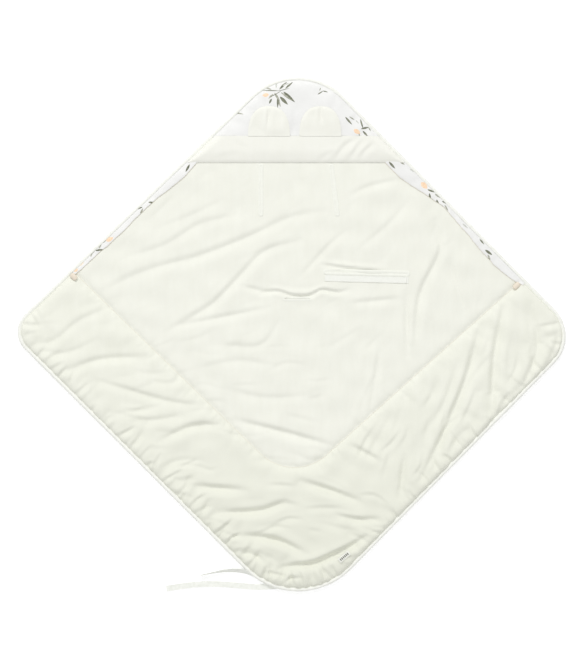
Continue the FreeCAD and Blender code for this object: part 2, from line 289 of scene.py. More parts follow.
def direction(degrees):
    return np.array([math.cos(math.radians(degrees)), math.sin(math.radians(degrees))])


def resampled(points, step, closed=False):
    """The polyline with its points about step apart, its two ends kept."""
    points = np.asarray(points, float)
    if closed:
        points = np.vstack([points, points[:1]])
    along = lengths_along(points)
    count = max(2, round(along[-1] / step) + 1)
    at = np.linspace(0, along[-1], count)
    even = np.stack([np.interp(at, along, points[:, k]) for k in range(points.shape[1])], axis=1)
    return even[:-1] if closed else even


def smooth_path(points, step):
    """A smooth line through a few points, one cubic to each span."""
    points = np.asarray(points, float)
    padded = np.vstack([2 * points[0] - points[1], points, 2 * points[-1] - points[-2]])
    out = []
    for a, b, c, d in zip(padded, padded[1:], padded[2:], padded[3:]):
        for t in np.linspace(0, 1, 12, endpoint=False):
            out.append(0.5 * (2 * b + (c - a) * t + (2 * a - 5 * b + 4 * c - d) * t * t
                              + (3 * b - a - 3 * c + d) * t ** 3))
    return resampled(out + [points[-1]], step)


def outline(inset, step=STEP):
    """The wrap's outline, anticlockwise, moved inwards: the hull of its piping."""
    flat = []
    for name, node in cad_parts.items():
        if name.startswith("piping_sleeve"):
            flat += [v.co.xy for v in node.data.vertices]
    hull = resampled([flat[i] for i in convex_hull_2d(flat)], 1 * MM, closed=True)
    for _ in range(40):
        hull = (np.roll(hull, 1, axis=0) + 2 * hull + np.roll(hull, -1, axis=0)) / 4
    ahead = np.roll(hull, -1, axis=0) - np.roll(hull, 1, axis=0)
    ahead /= np.linalg.norm(ahead, axis=1)[:, None]
    turn = 1 if np.sum(np.cross(hull, np.roll(hull, -1, axis=0))) > 0 else -1
    inward = np.stack([-ahead[:, 1], ahead[:, 0]], axis=1) * turn
    moved = resampled(hull + inward * inset, step, closed=True)
    return moved[::turn]


def rounded_seam(beyond=0.0):
    """The V seam with its point rounded; beyond runs its two ends further out."""
    a, b, c = (np.array(p) for p in SEAM)
    back, ahead = (a - b) / np.linalg.norm(a - b), (c - b) / np.linalg.norm(c - b)
    half = math.acos(back @ ahead) / 2
    reach = SEAM_R / math.tan(half)
    centre = b + (back + ahead) / np.linalg.norm(back + ahead) * SEAM_R / math.sin(half)
    first = b + back * reach - centre
    turn = math.pi - 2 * half
    start = math.atan2(first[1], first[0])
    arc = [centre + SEAM_R * np.array([math.cos(start + turn * t), math.sin(start + turn * t)])
           for t in np.linspace(0, 1, 24)]
    return resampled([a + back * beyond, *arc, c + ahead * beyond], STEP)


def slot_loop(centre, length, width, angle):
    """A slot's edge as a closed loop with pointed ends."""
    along = direction(angle)
    side = np.array([-along[1], along[0]])
    count = max(4, round(length / STEP))
    runs = np.linspace(-0.5, 0.5, count + 1) * length
    there = [np.array(centre) + along * r + side * width / 2 for r in runs[1:-1]]
    back = [np.array(centre) + along * r - side * width / 2 for r in runs[-2:0:-1]]
    return np.array([centre + along * runs[0], *there, centre + along * runs[-1], *back])


def inside(points, loop):
    """Whether each point lies in a closed loop (ray casting)."""
    x, y = points[:, 0], points[:, 1]
    hit = np.zeros(len(points), bool)
    for (ax, ay), (bx, by) in zip(loop, np.roll(loop, -1, axis=0)):
        spans = (ay > y) != (by > y)
        if spans.any():
            hit ^= spans & (x < (bx - ax) * (y - ay) / (by - ay + 1e-30) + ax)
    return hit


def distance(points, line, closed=False):
    """Each point's distance to a polyline, how far along it (0 to 1) the nearest place is, and
    the line's direction there."""
    line = np.asarray(line, float)
    if closed:
        line = np.vstack([line, line[:1]])
    best, where = np.full(len(points), 1e9), np.zeros(len(points))
    way = np.zeros((len(points), 2))
    lengths = np.linalg.norm(np.diff(line, axis=0), axis=1)
    starts = np.concatenate([[0], np.cumsum(lengths)])
    for a, b, length, start in zip(line, line[1:], lengths, starts):
        t = np.clip(((points - a) @ (b - a)) / max(length, 1e-12) ** 2, 0, 1)
        d = np.linalg.norm(points - a - t[:, None] * (b - a), axis=1)
        near = d < best
        best[near], where[near] = d[near], (start + t * length)[near] / starts[-1]
        way[near] = (b - a) / max(length, 1e-12)
    return best, where, way


def triangulate(edge, lines, loops, step=STEP):
    """An even triangle mesh inside edge. Its edges follow the open lines and the closed loops."""
    verts, edges = [], []

    def add(points, closed):
        first = len(verts)
        verts.extend(Vector(p) for p in points)
        edges.extend((first + i, first + i + 1) for i in range(len(points) - 1))
        if closed:
            edges.append((len(verts) - 1, first))

    add(edge, True)
    for line in lines:
        add(line, False)
    for loop in loops:
        add(loop, True)
    near = KDTree(len(verts))
    for i, v in enumerate(verts):
        near.insert((v.x, v.y, 0), i)
    near.balance()
    low, high = np.min(edge, axis=0), np.max(edge, axis=0)
    rows = np.arange(low[1], high[1], step * math.sqrt(3) / 2)
    grid = np.array([(x + (j % 2) * step / 2, y) for j, y in enumerate(rows)
                     for x in np.arange(low[0], high[0], step)])
    grid += RNG.uniform(-0.12, 0.12, grid.shape) * step
    grid = grid[inside(grid, np.asarray(edge))]
    verts.extend(Vector(p) for p in grid if near.find((p[0], p[1], 0))[2] > 0.62 * step)
    out_verts, _, out_faces, *_ = delaunay_2d_cdt(verts, edges, [], 0, 1e-6)
    points = np.array([(v.x, v.y) for v in out_verts])
    faces = np.array([f for f in out_faces if len(f) == 3])
    faces = faces[inside(points[faces].mean(axis=1), np.asarray(edge))]
    faces = merged_close(points, faces, 0.3 * step)
    used, faces = np.unique(faces, return_inverse=True)
    return points[used], faces.reshape(-1, 3)


def merged_close(points, faces, reach):
    """The faces with points closer than reach taken as one, and none left without area."""
    near = KDTree(len(points))
    for i, p in enumerate(points):
        near.insert((p[0], p[1], 0), i)
    near.balance()
    same = np.arange(len(points))
    for i, p in enumerate(points):
        if same[i] == i:
            for _, j, _ in near.find_range((p[0], p[1], 0), reach):
                if j > i and same[j] == j:
                    same[j] = i
    faces = same[faces]
    a, b, c = faces.T
    return faces[(a != b) & (b != c) & (c != a)]


# ---------------------------------------------------------------- cloth

def dome(distances, reach):
    """0 at a seam, rising like the side of a pad to 1 at reach."""
    u = np.clip(distances / reach, 0, 1)
    return np.sqrt(1 - (1 - u) ** 2)


def laid_folds(flat, folds, sharp=1.0):
    """The height that a list of folds adds at each point: a valley with a low ridge each side,
    steeper on the side towards the hood. sharp narrows them all."""
    height = np.zeros(len(flat))
    for points, rise, width in folds:
        line = smooth_path(np.array(points) * MM, 6 * MM)
        wide = width * MM / sharp
        near = (np.abs(flat - (line.min(axis=0) + line.max(axis=0)) / 2)
                < np.ptp(line, axis=0) / 2 + 5 * wide).all(axis=1)
        if not near.any():
            continue
        own = flat[near]
        d, t, _ = distance(own, line)
        up = distance(own + [0, 0.5 * MM], line)[0] > d
        u = d / wide * np.where(up, 1.45, 0.85)
        shape = np.exp(-u ** 1.4) - 0.3 * np.exp(-((u - 2.2) / 1.1) ** 2)
        height[near] += rise * MM * shape * np.sin(math.pi * np.clip(t, 0.03, 0.97)) ** 0.6
    return height


def gathers(line, side, gap, reach, depth, where=lambda p: True, width=(6.5, 10)):
    """Puckers that run inwards from a seam: gap apart, reach long, depth deep, in millimetres."""
    line = np.asarray(line)
    ahead = np.roll(line, -1, axis=0) - line
    found, at = [], 0.0
    for p, step in zip(line[:-1], ahead[:-1]):
        at -= np.linalg.norm(step) / MM
        if at > 0 or not where(p):
            continue
        at = RNG.uniform(*gap)
        turn = RNG.uniform(-0.45, 0.45)
        ahead_here = step / np.linalg.norm(step)
        inward = np.array([-ahead_here[1], ahead_here[0]]) * side
        way = math.cos(turn) * inward + math.sin(turn) * ahead_here
        long = RNG.uniform(*reach) * MM
        bow = ahead_here * RNG.uniform(-0.12, 0.12) * long
        points = [p - 8 * MM * inward, p + way * long / 2 + bow, p + way * long]
        found.append(([tuple(q / MM) for q in points], -RNG.uniform(*depth), RNG.uniform(*width)))
    return found


def slight_folds(count, low, high, length, depth, width):
    """Shorter folds scattered between two corners of a box, along FOLD_WAYS, in millimetres."""
    places = np.array([place for place, _ in FOLD_WAYS], float)
    twice = 2 * np.radians([turn for _, turn in FOLD_WAYS])
    found = []
    for _ in range(count):
        middle = RNG.uniform(low, high)
        share = 1 / (np.linalg.norm(places - middle, axis=1) + 30) ** 2.5
        turn = math.atan2(share @ np.sin(twice), share @ np.cos(twice)) / 2 + RNG.normal(0, 0.16)
        way, half = np.array([math.cos(turn), math.sin(turn)]), RNG.uniform(*length) / 2
        bow = np.array([-way[1], way[0]]) * RNG.normal(0, 0.16) * half
        points = [tuple(middle - way * half), tuple(middle + bow), tuple(middle + way * half)]
        found.append((points, -RNG.uniform(*depth), RNG.uniform(*width)))
    return found


def sides_of(faces):
    """The three sides of each triangle, as pairs of points."""
    return np.vstack([faces[:, [0, 1]], faces[:, [1, 2]], faces[:, [2, 0]]])


def links_of(faces):
    """Each edge of the triangles once, as its two points."""
    return np.unique(np.sort(sides_of(faces), axis=1), axis=0).T


def settled(points, faces, hold, growth, ahead, rounds=400, bending=0.05):
    """The sheet at rest after its cloth is simulated: position-based dynamics, with no speed kept.
    The cloth is cut larger than its place by growth (a share, per point), mostly along ahead (a
    direction in the plane, per point). hold is how much of a point's move the wadding takes back
    in each round, and 1 at a seam."""
    a, b = links_of(faces)
    count = len(points)
    links = (np.bincount(a, minlength=count) + np.bincount(b, minlength=count))[:, None]
    span = points[b] - points[a]
    way = span[:, :2] / np.maximum(np.linalg.norm(span[:, :2], axis=1), 1e-9)[:, None]
    along = (ahead[a] + ahead[b]) / 2
    share = (way * along).sum(axis=1) ** 2 + 0.25 * (1 - (along ** 2).sum(axis=1))
    rest = np.linalg.norm(span, axis=1) * (1 + (growth[a] + growth[b]) / 2 * share)
    firm = hold >= 1
    now = points + np.stack([0 * hold, 0 * hold, ripples(points) * (1 - firm)], axis=1)
    for _ in range(rounds):
        span = now[b] - now[a]
        length = np.linalg.norm(span, axis=1)
        pull = span * (0.5 * (1 - rest / length))[:, None]
        drawn = [np.bincount(a, p, count) - np.bincount(b, p, count) for p in pull.T]
        now += np.stack(drawn, axis=1) / links * 1.6
        now -= bending * bulge(bulge(now - points, a, b, links), a, b, links)
        now += hold[:, None] * (points - now)
        now[firm] = points[firm]
    return now


def bulge(values, a, b, links):
    """How far the mean of its neighbours is from each point."""
    count = len(values)
    total = [np.bincount(a, v[b], count) + np.bincount(b, v[a], count) for v in values.T]
    return np.stack(total, axis=1) / links - values


def ripples(points, height=1.1 * MM, waves=60):
    """Low uneven waves, which give the simulation somewhere to start."""
    total = np.zeros(len(points))
    for _ in range(waves):
        turn, phase = RNG.uniform(0, 2 * math.pi, 2)
        way = np.array([math.cos(turn), math.sin(turn)]) * RNG.uniform(40, 130)
        total += np.sin(points[:, :2] @ way + phase)
    return total * height / math.sqrt(waves / 2)


def refined(points, faces, firm):
    """Each triangle in four, with the new points on a smooth surface (Loop's rule). Firm points
    and the border stay where they are. points may carry more columns, such as the flat place."""
    pairs, where = np.unique(np.sort(sides_of(faces), axis=1), axis=0, return_inverse=True)
    where = where.ravel()
    opposite = np.concatenate([faces[:, 2], faces[:, 0], faces[:, 1]])
    across = np.stack([np.bincount(where, p[opposite]) for p in points.T], axis=1)
    a, b = pairs.T
    ends = points[a] + points[b]
    border = np.bincount(where) < 2
    crease = border | (firm[a] & firm[b])
    middle = np.where(crease[:, None], ends / 2, ends * 0.375 + across * 0.125)
    links = (np.bincount(a, minlength=len(points)) + np.bincount(b, minlength=len(points)))[:, None]
    moved = points + 0.375 * bulge(points, a, b, links)
    still = firm.copy()
    still[pairs[border].ravel()] = True
    moved[still] = points[still]
    ab, bc, ca = len(points) + where.reshape(3, -1)
    a, b, c = faces.T
    quarters = [(a, ab, ca), (ab, b, bc), (ca, bc, c), (ab, bc, ca)]
    split = np.vstack([np.stack(q, axis=1) for q in quarters])
    return np.vstack([moved, middle]), split, np.concatenate([firm, crease])


def normals_of(points, faces):
    """Each point's normal, from the faces around it."""
    a, b, c = points[faces[:, 0]], points[faces[:, 1]], points[faces[:, 2]]
    face = np.cross(b - a, c - a)
    total = np.zeros((len(points), 3))
    for corner in faces.T:
        total += np.stack([np.bincount(corner, f, len(points)) for f in face.T], axis=1)
    return total / np.maximum(np.linalg.norm(total, axis=1), 1e-12)[:, None]


def only(faces, keep, *columns):
    """The kept faces with their points numbered afresh, and those points' rows of each column."""
    used, fresh = np.unique(faces[keep], return_inverse=True)
    return fresh.reshape(-1, 3), [c[used] for c in columns]


# ---------------------------------------------------------------- meshes

def new_object(name, data):
    """A new object in the scene."""
    obj = bpy.data.objects.new(name, data)
    bpy.context.scene.collection.objects.link(obj)
    return obj


def made(name, verts, faces, uv=None, normals=None):
    """A new mesh object in the scene. uv is each point's place on the flat cloth, in metres."""
    mesh = bpy.data.meshes.new(name)
    mesh.from_pydata(np.asarray(verts).tolist(), [], [list(map(int, f)) for f in faces])
    mesh.polygons.foreach_set("use_smooth", [True] * len(mesh.polygons))
    if uv is not None:
        layer = mesh.uv_layers.new(name="cloth")
        corners = np.empty(len(mesh.loops), int)
        mesh.loops.foreach_get("vertex_index", corners)
        layer.data.foreach_set("uv", np.asarray(uv, float)[corners].ravel())
    mesh.validate()
    if normals is not None:
        mesh.normals_split_custom_set_from_vertices(np.asarray(normals).tolist())
    return new_object(name, mesh)


def skin(name, top, bottom, faces, uv, top_normals=None):
    """A closed piece between two layers that have the same triangles."""
    count = len(top)
    known = {(int(a), int(b)) for a, b in sides_of(faces)}
    rim = [(b, a, a + count, b + count) for a, b in known if (b, a) not in known]
    rim.sort()
    under = faces[:, ::-1] + count
    every = [*map(tuple, faces.tolist()), *map(tuple, under.tolist()), *rim]
    normals = None
    if top_normals is not None:
        normals = np.vstack([top_normals, normals_of(bottom, faces[:, ::-1])])
    return made(name, np.vstack([top, bottom]), every, np.vstack([uv, uv]), normals)


def ribbon(name, grid, uv, thickness, closed=False):
    """A strip of cloth from rows of points, made solid by thickness on both sides."""
    rows, across = grid.shape[:2]
    last = rows if closed else rows - 1
    faces = []
    for i in range(last):
        for j in range(across - 1):
            a, b = i * across + j, (i + 1) % rows * across + j
            faces.append((a, b, b + 1, a + 1))
    obj = made(name, grid.reshape(-1, 3), faces, uv.reshape(-1, 2))
    solid = obj.modifiers.new("thick", "SOLIDIFY")
    solid.thickness, solid.offset = thickness, 0
    solid.use_even_offset = False
    applied(obj).data.set_sharp_from_angle(angle=math.radians(50))
    return obj


def applied(obj):
    """The object with its modifiers made part of its mesh."""
    seen = obj.evaluated_get(bpy.context.evaluated_depsgraph_get())
    mesh = bpy.data.meshes.new_from_object(seen)
    mesh.name = obj.name
    obj.modifiers.clear()
    obj.data = mesh
    return obj


def frames_along(path, closed):
    """The direction of travel at each point of a path, and the level direction to its left."""
    ahead = np.roll(path, -1, axis=0) - np.roll(path, 1, axis=0)
    if not closed:
        ahead[0], ahead[-1] = path[1] - path[0], path[-1] - path[-2]
    ahead /= np.linalg.norm(ahead, axis=1)[:, None]
    left = np.stack([-ahead[:, 1], ahead[:, 0], np.zeros(len(ahead))], axis=1)
    return ahead, left / np.linalg.norm(left, axis=1)[:, None]


def tube(name, path, radius, closed=False, sides=12):
    """A round cord along a path. radius is one number or one per point."""
    path = np.asarray(path, float)
    radius = np.broadcast_to(radius, len(path))
    ahead, left = frames_along(path, closed)
    up = np.cross(ahead, left)
    turns = np.linspace(0, 2 * math.pi, sides, endpoint=False)
    ring = np.cos(turns)[None, :, None] * left[:, None] + np.sin(turns)[None, :, None] * up[:, None]
    verts = (path[:, None] + ring * radius[:, None, None]).reshape(-1, 3)
    rows = len(path)
    faces = []
    for i in range(rows if closed else rows - 1):
        for j in range(sides):
            a, b = i * sides, (i + 1) % rows * sides
            faces.append((a + j, b + j, b + (j + 1) % sides, a + (j + 1) % sides))
    faces = [f[::-1] for f in faces]
    if not closed:
        first, final = list(range(sides)), [(rows - 1) * sides + j for j in range(sides)]
        faces += [first, final[::-1]]
    along = lengths_along(path)
    girth = 2 * math.pi * float(radius.mean())
    uv = np.stack([np.repeat(along, sides), np.tile(turns / (2 * math.pi) * girth, rows)], axis=1)
    obj = made(name, verts, faces, uv)
    return consistent(obj)


def consistent(obj):
    """The object with every face turned outwards."""
    work = bmesh.new()
    work.from_mesh(obj.data)
    bmesh.ops.recalc_face_normals(work, faces=work.faces)
    work.to_mesh(obj.data)
    work.free()
    return obj


def shaded_caps(obj, sides):
    """The two ends of a cord, flat against its round side."""
    for face in obj.data.polygons:
        if len(face.vertices) == sides:
            face.use_smooth = False
    return obj


# ---------------------------------------------------------------- the wrap's body

def corner_of(middle):
    """The corner, or the centre, that each place of the wrap moves with."""
    x, y = np.asarray(middle).T
    name = np.full(len(x), "centre")
    name[x < -PART_X] = "left"
    name[x > PART_X] = "right"
    name[y > PART_HEAD] = "head"
    name[y < PART_FOOT] = "foot"
    return name


def attach(obj, corner):
    """obj moves with the centre, or, for a corner, is only baked in place."""
    if corner == "centre":
        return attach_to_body(obj, "centre")
    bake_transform(obj)
    return obj


def cut_size(flat):
    """The sides of the smallest rectangle that a flat piece can be cut from."""
    best = None
    for turn in np.radians(np.arange(0, 90, 3)):
        axes = np.array([[math.cos(turn), -math.sin(turn)], [math.sin(turn), math.cos(turn)]])
        span = np.ptp(flat @ axes, axis=0)
        if best is None or span.prod() < best.prod():
            best = span
    return tuple(float(v) for v in best)


def areas(flat, faces):
    """The area of each flat triangle."""
    a, b, c = (flat[corner] for corner in faces.T)
    return np.abs(np.cross(b - a, c - a)) / 2


def declare(flat):
    """Finds the sides of the smallest rectangle that a flat piece can be cut from; nothing is done with
    them.
    """
    width, length = cut_size(flat)


def fitted(obj, finish, slot, body, *nodes):
    """Gives obj its finish and the body that it rides on, and hides the CAD nodes that it stands for."""
    dress(obj, finish)
    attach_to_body(obj, body)
    if nodes:
        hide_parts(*nodes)


def spanning(obj, finish, slot, corner, *nodes):
    """The same for a piece of the centre or of a corner; a corner's piece is only baked in place."""
    dress(obj, finish)
    attach(obj, corner)
    if nodes:
        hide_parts(*nodes)


def wrap_triangles():
    """The wrap's flat triangles, which follow its seams, slots and the lines where it is parted."""
    far = 0.7
    parts = [
        [(-far, PART_HEAD), (far, PART_HEAD)],
        [(-far, PART_FOOT), (far, PART_FOOT)],
        [(-PART_X, PART_FOOT), (-PART_X, PART_HEAD)],
        [(PART_X, PART_FOOT), (PART_X, PART_HEAD)],
    ]
    lines = [rounded_seam(0.06), *(resampled(p, STEP) for p in parts)]
    loops = [slot_loop(*s) for s in SLOTS.values()]
    rings = [outline(EDGE + 3 * MM), outline(WADDING_EDGE)]
    flat, faces = triangulate(outline(EDGE), lines, [*loops, *rings])
    open_faces = np.zeros(len(faces), bool)
    for loop in loops:
        open_faces |= inside(flat[faces].mean(axis=1), loop)
    open_faces |= areas(flat, faces) < 0.5e-8
    faces, (flat,) = only(faces, ~open_faces, flat)
    return flat, faces


def in_lining(places):
    """Whether each place is above the V seam."""
    line = rounded_seam(0.3)
    return inside(places, np.vstack([line, [(1.5, 1.5), (-1.5, 1.5)]]))


def slot_distance(flat):
    """How far each point is from the nearest slot's middle line, up to 1 m."""
    near = np.full(len(flat), 1.0)
    for centre, length, _, angle in SLOTS.values():
        half = direction(angle) * length / 2
        d, _, _ = distance(flat, [centre - half, centre + half])
        near = np.minimum(near, d)
    return near


def gathered(place):
    """Whether the outline is gathered here: everywhere below the printed facings."""
    return place[1] < 0.06


def gathered_left(place):
    return gathered(place) and place[0] < 0.1


def gathered_right(place):
    return gathered(place) and place[0] > 0.1


def inside_heights(flat, lining):
    """The height of the lining and border before their cloth is let go, and the way to gather it."""
    edge, seam = outline(EDGE, 4 * MM), rounded_seam(0.06)
    d_edge, _, edge_way = distance(flat, edge, closed=True)
    d_seam, _, seam_way = distance(flat, seam)
    full = np.where(lining, LINING_Z, BORDER_Z)
    z = SEAM_Z + (full - SEAM_Z) * dome(d_seam, np.where(lining, 20 * MM, 34 * MM))
    roll = EDGE_ROLL * np.interp(flat[:, 0], [0, 0.2], [1, 0.65])
    z = EDGE_Z + (z - EDGE_Z) * dome(d_edge, np.where(lining, 20 * MM, roll))
    folds = FOLDS + gathers(edge, 1, (26, 48), (35, 90), (1.2, 3.2), gathered)
    folds += gathers(seam, -1, (34, 70), (25, 65), (0.8, 2.0))
    folds += gathers(seam, 1, (45, 90), (20, 50), (0.6, 1.3))
    calm = calm_near_slots(flat)
    z += 0.55 * fold_depth(flat) * laid_folds(flat, folds) * calm * dome(d_edge, 16 * MM)
    near = np.where((d_edge < d_seam)[:, None], edge_way, seam_way)
    ahead = near * np.exp(-np.minimum(d_edge, d_seam) / 0.05)[:, None]
    firm = (d_edge < 1.5 * MM) | (d_seam < 1.5 * MM)
    return np.maximum(z, EDGE_Z), ahead, firm, calm


def calm_near_slots(flat):
    """0 at a slot or under the brim, where the cloth lies flat, rising to 1 away from them."""
    calm = np.clip((slot_distance(flat) - 9 * MM) / (14 * MM), 0, 1)
    return np.minimum(calm, np.clip((0.385 - flat[:, 1]) / 0.012, 0, 1))


def fold_depth(flat):
    """How deep the folds are at each point, as a share."""
    return np.interp(flat[:, 1], *zip(*DEPTH_BY_Y)) * np.interp(flat[:, 0], *zip(*DEPTH_BY_X))


def creases(flat):
    """The sharp middle of each fold, and the short puckers along the seams."""
    edge, seam = outline(EDGE, 4 * MM), rounded_seam(0.06)
    d_edge, _, _ = distance(flat, edge, closed=True)
    d_seam, _, _ = distance(flat, seam)
    long = laid_folds(flat, FOLDS, 1.5)
    short = gathers(edge, 1, (10, 30), (12, 55), (1.2, 4.2), gathered_left, (3.4, 5.6))
    short += gathers(edge, 1, (22, 60), (16, 55), (0.8, 2.8), gathered_right, (3.4, 5.5))
    short += gathers(seam, -1, (14, 34), (8, 26), (0.5, 1.3), width=(3, 4.2))
    short += gathers(seam, 1, (18, 46), (6, 20), (0.3, 0.9), width=(3, 4.2))
    short += slight_folds(150, (-560, -540), (560, 60), (30, 110), (0.6, 2.2), (4, 7))
    short += slight_folds(70, (-420, 0), (420, 360), (40, 120), (0.4, 1.3), (5, 8))
    height = 0.4 * fold_depth(flat) * long
    height += np.where(in_lining(flat), 0.45, 1.0) * fold_depth(flat) * laid_folds(flat, short)
    height *= calm_near_slots(flat) * dome(d_edge, 5 * MM) * dome(d_seam, 4 * MM)
    return height + laid_folds(flat, SLOT_CREASES)


def inside_sheet(flat, faces):
    """The lining and border as one puckered sheet: its points, with their flat place after them."""
    lining = in_lining(flat)
    z, ahead, firm, calm = inside_heights(flat, lining)
    hold = np.where(calm < 1, 0.02 + 0.2 * (1 - calm), np.where(lining, 0.0006, 0.0004))
    hold[firm] = 1
    growth = np.where(lining, 0.022, 0.050)
    points = settled(np.column_stack([flat, z]), faces, hold, growth, ahead)
    points[:, 2] = np.maximum(points[:, 2], EDGE_Z)
    return np.column_stack([points, flat]), firm


def lining_and_border(faces, sheet, firm):
    """The eight velour pieces that show inside the open wrap. It gives back their surface, and how
    low they are round each of the sheet's points."""
    fine, fine_faces, _ = refined(sheet, faces, firm)
    fine[:, 2] = np.maximum(fine[:, 2] + creases(fine[:, 3:5]), EDGE_Z)
    normals = normals_of(fine[:, :3], fine_faces)
    middle = fine[fine_faces][:, :, 3:5].mean(axis=1)
    corner, lining = corner_of(middle), in_lining(middle)
    for kind, chosen in (("lining", lining), ("border", ~lining)):
        for name in CORNERS:
            node = f"{kind}_{name}"
            keep = chosen & (corner == name)
            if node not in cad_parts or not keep.any():
                continue
            own, (rows, up) = only(fine_faces, keep, fine, normals)
            top, place = rows[:, :3], rows[:, 3:5]
            obj = skin(f"{node}_cloth", top, top - [0, 0, VELOUR_T], own, place, up)
            spanning(obj, "velour" if kind == "lining" else "velour_border", kind, name, node)
            declare(place)
    low = fine[:, 2].copy()
    for a, b in zip(fine_faces.T, np.roll(fine_faces, 1, axis=1).T):
        np.minimum.at(low, a, fine[b, 2])
        np.minimum.at(low, b, fine[a, 2])
    return BVHTree.FromPolygons(fine[:, :3].tolist(), fine_faces.tolist()), low[:len(sheet)]


def back_heights(flat):
    """The height of the back cover's upper face: on the floor, and up to the piping at its edge.
    Each point's distance from the edge comes with it."""
    d, _, _ = distance(flat, outline(EDGE, 4 * MM), closed=True)
    return 1.0 * MM + 4.7 * MM * (1 - dome(d, 30 * MM)), d


def back_and_wadding(flat, faces, lowest):
    """The printed cover under the wrap, and the wadding between it and the inside."""
    back, d = back_heights(flat)
    soft = np.abs(ripples(np.column_stack([flat, back]), 0.8 * MM)) * np.clip(d / 0.02, 0, 1)
    back = back + soft
    cover = np.column_stack([flat, back])
    up = normals_of(cover, faces)
    middle = flat[faces].mean(axis=1)
    corner = corner_of(middle)
    padded = inside(middle, outline(WADDING_EDGE, 4 * MM))
    for name in CORNERS:
        own, (top, place, facing) = only(faces, corner == name, cover, flat, up)
        obj = skin(f"cover_{name}_cloth", top, top - [0, 0, PRINT_T], own, place, facing)
        spanning(obj, "back_print", "back_cover", name, f"cover_{name}")
        declare(place)
        keep = (corner == name) & padded
        own, (low, high, place) = only(faces, keep, cover, lowest, flat)
        low = low + [0, 0, 0.3 * MM]
        high = at_height(low, np.maximum(high - 2.0 * MM, low[:, 2] + 0.6 * MM))
        pad = skin(f"wadding_{name}_pad", high, low, own, place)
        spanning(pad, "wadding", "wadding", name, f"wadding_{name}")


def piping():
    """The cord in its bias-cut sleeve, round the whole edge, in one run for each corner."""
    path = outline(4.2 * MM, 5 * MM)
    wave = np.convolve(RNG.normal(0, 1, len(path)), np.ones(7) / 7, "same")
    path = np.column_stack([path, PIPING_Z + 0.5 * MM * wave])
    corner = corner_of(path[:, :2])
    starts = np.nonzero(corner != np.roll(corner, 1))[0]
    _, left = frames_along(path, True)
    turns = np.radians(np.linspace(22, 338, 13))
    round_part = [(3.9 * math.cos(t), 3.1 * math.sin(t)) for t in turns]
    profile = np.array([(8.4, 0.4), (5.2, 0.5), *round_part, (5.2, -0.5), (8.4, -0.4)]) * MM
    girth = lengths_along(profile)
    for first, after in zip(starts, np.roll(starts, -1)):
        name = str(corner[first])
        run = np.arange(first, after + 1 if after > first else after + len(path) + 1) % len(path)
        swell = 1 + 0.04 * wave[run]
        grid = path[run][:, None] + left[run][:, None] * (profile[:, 0] * swell[:, None])[..., None]
        grid[..., 2] += profile[:, 1] * swell[:, None]
        along = np.arange(len(run)) * 5 * MM
        uv = np.stack(np.meshgrid(along, girth, indexing="ij"), axis=-1)
        sleeve = ribbon(f"piping_sleeve_{name}_cloth", grid, uv, 0.45 * MM)
        spanning(sleeve, "bias_tape", "piping_sleeve", name, f"piping_sleeve_{name}", "piping_sleeve_centre")
        cord = shaded_caps(tube(f"piping_cord_{name}_core", path[run], 1.7 * MM, sides=10), 10)
        spanning(cord, "cotton_cord", "piping_cord", name, f"piping_cord_{name}", "piping_cord_centre")


# ---------------------------------------------------------------- hood, brim and ears

def band_of(loop, low=-1.0, high=1.0):
    """The part of a closed loop between two values of y, closed by straight chords."""
    for value, sign in ((low, 1), (high, -1)):
        out = []
        for p, q in zip(loop, np.roll(loop, -1, axis=0)):
            a, b = sign * (p[1] - value), sign * (q[1] - value)
            if a >= 0:
                out.append(p)
            if a * b < 0:
                out.append(p + (q - p) * a / (a - b))
        loop = np.array(out)
    return resampled(loop, STEP, closed=True)


def hood(step=6 * MM):
    """The printed hood and its lining: one crowned sheet on another, with the brim's seam in front."""
    rim = outline(EDGE)
    flat, faces = triangulate(band_of(rim, low=HOOD_Y), [], [], step)
    d, _, way = distance(flat, rim, closed=True)
    z = 9.0 * MM + (HOOD_Z - 9.0 * MM) * dome(d, 46 * MM)
    puckers = gathers(rim, 1, (24, 44), (20, 55), (0.6, 1.6), lambda p: p[1] > HOOD_Y)
    z += laid_folds(flat, puckers + HOOD_FOLDS) * dome(d, 10 * MM)
    hold = np.full(len(flat), 0.002)
    hold[(d < 1.5 * MM) | (flat[:, 1] < HOOD_Y + 1 * MM)] = 1
    growth = np.full(len(flat), 0.05)
    ahead = way * np.exp(-d / 0.04)[:, None]
    points = settled(np.column_stack([flat, z]), faces, hold, growth, ahead, 250)
    points[:, 2] = np.minimum(points[:, 2], HOOD_Z + 0.5 * MM)
    fine, fine_faces, _ = refined(np.column_stack([points, flat]), faces, hold >= 1)
    top, place = fine[:, :3], fine[:, 3:5]
    up = normals_of(top, fine_faces)
    outer = skin("hood_cloth", top, top - [0, 0, PRINT_T], fine_faces, place, up)
    fitted(outer, "hood_print", "hood_print", "head", "hood_outer")
    declare(place)
    under = points - [0, 0, 1.4 * MM]
    inner = skin("hood_lining_cloth", under, under - [0, 0, 0.8 * MM], faces, flat)
    fitted(inner, "velour", "hood_lining", "head", "hood_lining")
    declare(flat)


